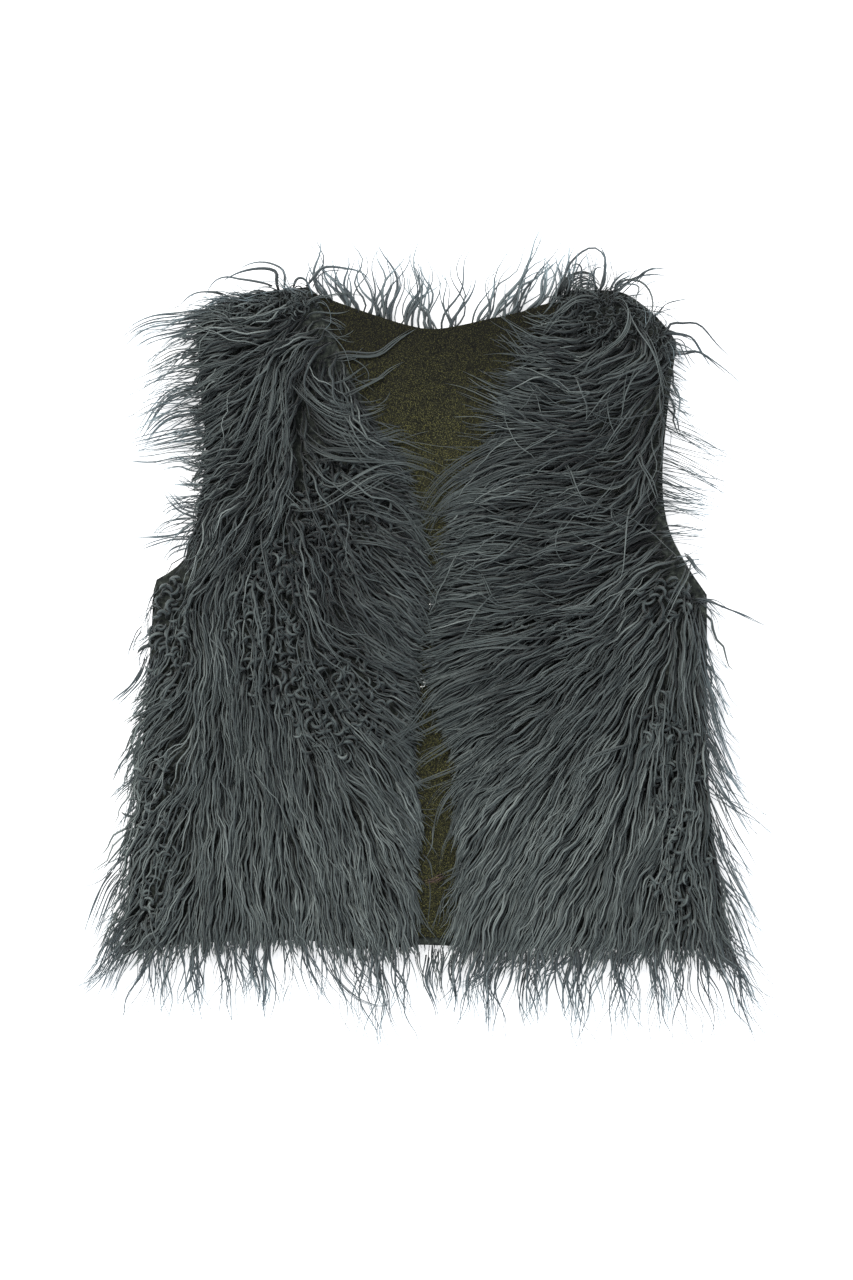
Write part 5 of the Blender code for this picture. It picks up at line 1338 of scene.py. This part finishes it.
RIGHT_FREE = (
    (1, 2.0, 0.0, 0.0, 1.3, 0.35,
     "82,409 83,417 85,424 90,430 96,435 102,437 106,434 109,429 109,421 106,411"),
    (1, 3.0, 0.0, 0.0, 1.3, 0.25, "95,408 93,416 94,423 92,426 88,425 87,423 93,424"),
    (1, 2.2, 0.0, 0.0, 1.3, 0.25, "103,409 101,417 102,422 105,424 107,421"),
    (3, 2.5, 1.2, 0.6, 1.3, 0.25, "104,407 108,414 109,423 109,430 107,435 105,440"),
    (3, 1.4, 1.9, 2.5, 1.2, 0.40, "126,413 131,420 136,423 144,424 151,424"),
    (3, 1.4, 2.5, 3.1, 1.2, 0.40, "119,408 126,414 135,417 144,416 152,412"),
    (2, 1.4, 1.2, 1.9, 1.2, 0.40, "137,390 142,396 146,401 154,403 162,404 171,404"),
    (3, 1.8, 1.9, 2.5, 1.2, 0.35, "113,406 115,413 121,418 130,419"),
    (1, 2.6, 0.0, 0.0, 1.0, 0.22,
     "142,378 147,383 147,388 150,390 156,388 162,390 168,388 173,382 180,374 188,367"),
    (2, 2.0, 0.6, 1.2, 1.0, 0.25, "139,380 147,382 155,381 161,380 167,371 173,362 178,355"),
    (2, 1.9, 0.6, 1.2, 1.0, 0.28, "141,371 150,371 157,370 165,372 173,368 181,362 189,355 196,348"),
    (2, 1.1, 1.2, 1.9, 1.0, 0.40, "147,378 155,377 158,370 163,362 167,356"),
    (2, 1.4, 1.2, 1.2, 1.0, 0.40, "145,385 152,383 160,380 167,375"),
    (2, 1.2, 1.2, 1.2, 1.0, 0.55, "145,359 150,350 154,344 154,336 152,328 149,319"),
    (3, 1.6, 1.2, 1.2, 1.0, 0.30, "161,217 168,218 176,215 185,211 195,207 206,202 218,197"),
    (2, 1.2, 1.2, 1.2, 1.0, 0.35, "162,215 170,217 177,216 183,212 188,207"),
    (3, 1.1, 1.2, 1.9, 1.0, 0.45, "156,247 161,242 165,237 170,232 173,225"),
    (6, 1.2, 4.3, 2.5, 1.0, 0.50, "161,223 166,199 171,177 178,155 186,135 190,124"),
    (7, 1.2, 5.0, 2.5, 1.0, 0.50, "163,192 169,168 175,146 181,127 188,112 194,99"),
    (7, 1.2, 5.0, 3.1, 1.0, 0.50, "166,161 172,140 180,121 188,106 198,91 203,84"),
    (7, 1.2, 5.0, 3.1, 1.0, 0.50, "168,133 175,115 183,99 192,86 200,71 206,62"),
    (6, 1.2, 4.3, 3.1, 1.0, 0.50, "171,109 178,90 186,73 195,59 202,44 205,37"),
    (7, 1.2, 5.0, 3.1, 1.0, 0.50, "175,84 181,62 189,44 198,28 205,13 208,6"),
    (6, 1.2, 4.3, 3.1, 1.0, 0.50, "178,56 185,34 193,16 201,-3 207,-15"),
    (5, 1.2, 4.3, 3.1, 1.0, 0.50, "181,31 188,9 194,-9 202,-25 209,-37"),
    (4, 1.2, 4.3, 3.7, 1.0, 0.50, "170,28 176,6 183,-15 189,-34 195,-49"),
    (6, 1.4, 3.7, 2.5, 1.0, 0.35, "0,4 -1,-7 -3,-18 2,-31 5,-42 4,-52"),
    (8, 1.2, 5.0, 5.0, 1.0, 0.40, "7,0 3,-11 2,-21 5,-31 6,-39"),
    (3, 1.4, 1.2, 1.2, 1.0, 0.30, "13,-3 12,-13 15,-23 16,-33 15,-43"),
    (8, 1.1, 5.6, 3.7, 1.0, 0.40, "43,-3 34,-15 25,-22 16,-25 11,-27"),
    (4, 1.1, 2.5, 2.5, 1.0, 0.40, "43,-6 39,-21 37,-32 37,-44 38,-54"),
    (5, 1.2, 3.1, 2.5, 1.0, 0.35, "62,-9 58,-22 57,-32 58,-43 62,-54"),
    (3, 1.5, 1.9, 1.9, 1.0, 0.30, "92,3 82,-8 73,-15 69,-17 75,-20"),
    (3, 1.4, 1.2, 1.2, 1.0, 0.30, "87,-3 84,-15 82,-26 82,-36 83,-46"),
)
ACROSS_GAP = (
    (8, 1.1, 9.0, 8.0, 1.0, 0.62, "-5,4 -5,-5 -3,-14 -1,-22 -2,-30"),
    (8, 1.1, 9.0, 8.0, 1.0, 0.62, "11,3 12,-6 10,-15 8,-23 9,-31"),
    (5, 1.0, 6.0, 6.0, 1.0, 0.62, "3,3 4,-4 3,-11 5,-17"),
    (2, 1.0, 1.2, 1.2, 1.2, 0.55, "4,82 2,72 1,63 -3,55"),
    (2, 0.9, 1.2, 1.2, 1.2, 0.55, "17,84 12,73 8,65 6,55"),
    (2, 0.9, 1.2, 1.2, 1.2, 0.55, "-6,62 0,55 2,47 1,39"),
    (1, 0.9, 0.0, 0.0, 1.2, 0.55, "-1,46 0,35 -1,23 -2,14"),
    (2, 0.9, 1.2, 1.2, 1.2, 0.55, "11,39 7,29 7,19 3,11 -1,8"),
    (2, 0.9, 1.2, 1.2, 1.2, 0.55, "-10,28 -5,19 0,11 6,4"),
    (2, 0.9, 1.2, 1.2, 1.2, 0.55, "17,31 13,20 10,11 5,4"),
    (6, 1.1, 4.3, 3.4, 1.3, 0.58, "62,140 43,129 25,115 9,107 -8,101 -26,92"),
    (5, 1.2, 3.1, 1.2, 1.2, 0.58, "62,123 43,113 26,107 10,102 2,94 -5,82"),
    (5, 1.2, 3.1, 1.2, 1.2, 0.58, "37,121 21,107 12,98 6,88 3,78 0,65"),
    (4, 1.1, 2.5, 1.2, 1.2, 0.58, "36,115 23,101 16,88 12,75 7,62 5,50"),
    (3, 1.1, 2.5, 1.2, 1.2, 0.56, "-34,102 -25,93 -11,79 -1,67 7,55"),
    (3, 1.0, 1.9, 1.2, 1.2, 0.56, "-19,44 -11,32 -5,20 1,8"),
    (2, 0.9, 1.2, 1.2, 1.2, 0.56, "15,39 12,28 8,13"),
    (2, 0.9, 1.2, 1.2, 1.2, 0.56, "10,34 5,22 0,9"),
    (4, 0.8, 2.2, 1.4, 1.2, 0.56, "26,55 20,52 14,49 9,47 4,45"),
)
REDDISH_END = ((6, 0.6, 2.2, 1.7, 1.3, 0.56, "9,47 6,45.5 3,44 -1,43 -5,42"),)

# %% Locks laid one by one
LAID_RINGS = 15
LAID_CLIMB = 0.14  # the share of its length over which a hand-laid lock climbs out of the pile
MM = 1000


def hand_laid(name, rows, material, seed):
    """Bundles of locks, each along the way that its row gives."""
    draw = np.random.default_rng(seed)
    lines, widths, highs, grey = [], [], [], []
    for count, width, root_spread, tip_spread, high, tone, way in rows:
        path = smooth_line(np.array([point.split(",") for point in way.split()], float) / MM, 6)
        single = count == 1
        for _ in range(count):
            first = 0 if single else draw.uniform(0, 0.16)
            last = 1 if single else draw.uniform(0.78, 1)
            shares = np.linspace(first, last, LAID_RINGS)
            places, run = at_shares(path, shares)
            away = (root_spread + (tip_spread - root_spread) * shares) * draw.uniform(-1, 1)
            away += 0.35 * np.sin(shares * draw.uniform(6, 13) + draw.uniform(0, 6)) * (not single)
            line = places + np.column_stack([-run[:, 1], run[:, 0]]) * away[:, None] / MM
            line[1:-1] = (line[:-2] + 2 * line[1:-1] + line[2:]) / 4
            lines.append(line)
            widths.append(width / MM * draw.choice((0.9, 0.75, 0.5)))
            highs.append(high * draw.uniform(0.9, 1.08))
            grey.append(tone + draw.normal(0, 0.09))
    lines, highs = np.array(lines), np.array(highs)
    widths = np.array(widths)[:, None] * lock_width(LAID_RINGS, 1.8)[None]
    heights = laid(lines, np.full(len(lines), LAID_CLIMB), highs)
    return tubes(name, lines, np.maximum(heights, widths / 2 + OFF_TABLE), widths, np.array(grey), material)


laid_pieces = [
    hand_laid("locks_laid_left", LEFT_ON_COAT, FUR, 800),
    hand_laid("locks_laid_right", RIGHT_ON_COAT, FUR, 801),
    hand_laid("locks_free_left", LEFT_FREE, WISP, 802),
    hand_laid("locks_free_right", RIGHT_FREE, WISP, 803),
    hand_laid("locks_across_gap", ACROSS_GAP, FUR, 804),
    hand_laid("locks_reddish_end", REDDISH_END, REDDISH, 805),
]

# %% [markdown]
# ### The back's pile
#
# The vest lies on its back, so the back's pile is pressed flat between the cloth and the table. It is seen
# from the sides and from below: locks that leave the cloth, turn, and lie down towards the hem.

# %% Pressed pile of the back
BACK_RINGS = 9
BACK_PITCH, BACK_MARGIN = 0.0104, 0.003
BACK_LENGTH, BACK_SHORTEST = (0.036, 0.054), 0.006
BACK_WIDTH = 0.0016, 0.0024
PRESSED_LEVEL = 0.0014, 0.0042  # the heights that locks lie at, pressed between the cloth and the table
BACK_CRIMP, BACK_WAVELENGTH = 0.35, 0.019


def back_pile(ring, seed):
    """The back's locks. Those near the hem are shorter, so that they end at it."""
    draw = np.random.default_rng(seed)
    roots = scattered(ring, BACK_PITCH, seed, BACK_MARGIN)
    count = len(roots)
    lengths = draw.uniform(*BACK_LENGTH, count)
    to_hem = roots[:, 1] + draw.uniform(-0.002, 0.004, count)
    lengths = np.minimum(lengths, np.maximum(to_hem, BACK_SHORTEST))
    spread = (roots[:, 0] / 0.19) * 0.22
    step = lengths / (BACK_RINGS - 1)
    phases = 3 * ripple(roots, 0.05, seed + 1) + draw.normal(0, 0.6, count)
    turns = math.radians(270) + spread + draw.normal(0, 0.12, count)
    line = [roots]
    for j in range(1, BACK_RINGS):
        reach = (j - 0.5) * step
        turn = turns + BACK_CRIMP * np.sin(2 * math.pi * reach / BACK_WAVELENGTH + phases)
        line.append(line[-1] + step[:, None] * np.column_stack([np.cos(turn), np.sin(turn)]))
    lines = np.stack(line, 1)
    u = np.linspace(0, 1, BACK_RINGS)
    widths = draw.uniform(*BACK_WIDTH, count)[:, None] * lock_width(BACK_RINGS)[None]
    level = draw.uniform(*PRESSED_LEVEL, count)
    drop = (BACK_TOP - 0.0014 - level)[:, None] * np.exp(-u / 0.13)[None]
    heights = level[:, None] * (1 - 0.8 * u**2) + drop
    grey = 0.48 + draw.normal(0, 0.14, count)
    return tubes("pile_back", lines, np.maximum(heights, widths / 2 + 0.0001), widths, grey)


pressed = back_pile(VEST_RING, 700)

# %% [markdown]
# ## What carries what
#
# Every piece rides on the vest's one body, and the parts of the imported model that it stands for are
# hidden. The cloths were cut with a seam allowance of 10 mm all round, which the seams and turned edges have
# taken up.

# %% Ride and replace
def dress(piece, slot, *nodes):
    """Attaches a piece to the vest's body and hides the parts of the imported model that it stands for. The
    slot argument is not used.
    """
    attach(piece, "root")
    if nodes:
        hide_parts(*nodes)
    return piece


dress(cloth_left, "faux_fur", "front_left_fur")
dress(cloth_right, "faux_fur", "front_right_fur")
dress(cloth_back, "faux_fur", "back_fur")
dress(lining, "lining", "back_lining")
dress(pressed, "faux_fur")
for piece in (*left_coat, *right_coat, *all_curls):
    dress(piece, "faux_fur")
for name, piece in edge_pieces.items():
    dress(piece, "faux_fur", f"{name}_locks")
for piece in laid_pieces:
    dress(piece, "faux_fur")
for piece, cad_node in closures:
    dress(piece, "closure_wire", cad_node)


# %% [markdown]
# ## Table, light and camera
#
# The photograph looks straight down on a white table that is lit so well that no shadow is left on it. The
# table glows a little here to do the same. The light is one broad soft source above, a weaker one from the
# other side, and a pale sky all round.

# %% Table
TABLE_SIZE = 6
bpy.ops.mesh.primitive_plane_add(size=TABLE_SIZE, location=(0, 0, 0))
table = bpy.context.active_object
table.name = "table"
TABLE = new_material("matte_white_laminate")
place = node(TABLE, "TexCoord")
mottle = node(TABLE, "TexNoise", inputs={"Vector": place.outputs["Object"], "Scale": 3.0})
white = node(TABLE, "ValToRGB", {"stops": ((0.3, linear("fafafa")), (0.7, linear("ffffff")))},
             {0: mottle.outputs["Fac"]})
finish_material(TABLE, node(TABLE, "BsdfPrincipled", inputs={
    "Base Color": white.outputs[0], "Roughness": 0.7, "Emission Color": linear("ffffff"),
    "Emission Strength": 0.62}))
table.data.materials.append(TABLE)
bpy.ops.object.select_all(action="DESELECT")


# %% Light
def soft_light(name, place, size, power, colour):
    """A square light that shines at the vest."""
    data = bpy.data.lights.new(name, "AREA")
    data.shape = "SQUARE"
    data.size, data.energy, data.color = size, power, linear(colour)[:3]
    lamp = bpy.data.objects.new(name, data)
    lamp.location = place
    aim = -lamp.location.normalized()
    lamp.rotation_euler = aim.to_track_quat("-Z", "Y").to_euler()
    bpy.context.scene.collection.objects.link(lamp)
    return lamp


soft_light("key", (-0.9, 1.1, 2.0), 1.2, 50, "fffdfa")
soft_light("fill", (1.6, -0.8, 1.6), 1.8, 14, "f4f8ff")
world = bpy.data.worlds.new("studio")
world.use_nodes = True
world.node_tree.nodes["Background"].inputs["Color"].default_value = linear("f2f6ff")
world.node_tree.nodes["Background"].inputs["Strength"].default_value = 0.50
bpy.context.scene.world = world
bpy.context.scene.view_settings.view_transform = "Standard"

# %% Camera: straight down, as in the photograph
PICTURE = 853, 1280
METRES_PER_PIXEL = 0.00062
PICTURE_MIDDLE = 0.0028, -0.0040
FUR_HEIGHT = 0.012  # the scale holds at this height above the table
view_height = PICTURE[1] * METRES_PER_PIXEL
camera = bpy.data.objects.new("camera", bpy.data.cameras.new("camera"))
camera.data.lens = 90
camera.data.sensor_width = 36
distance = view_height / 2 / math.tan(math.atan(camera.data.sensor_width / 2 / camera.data.lens))
camera.location = (*PICTURE_MIDDLE, distance + FUR_HEIGHT)
camera.data.clip_start, camera.data.clip_end = 0.1, 20
bpy.context.scene.collection.objects.link(camera)
bpy.context.scene.camera = camera
print("Camera", round(distance, 3), "m above the vest")
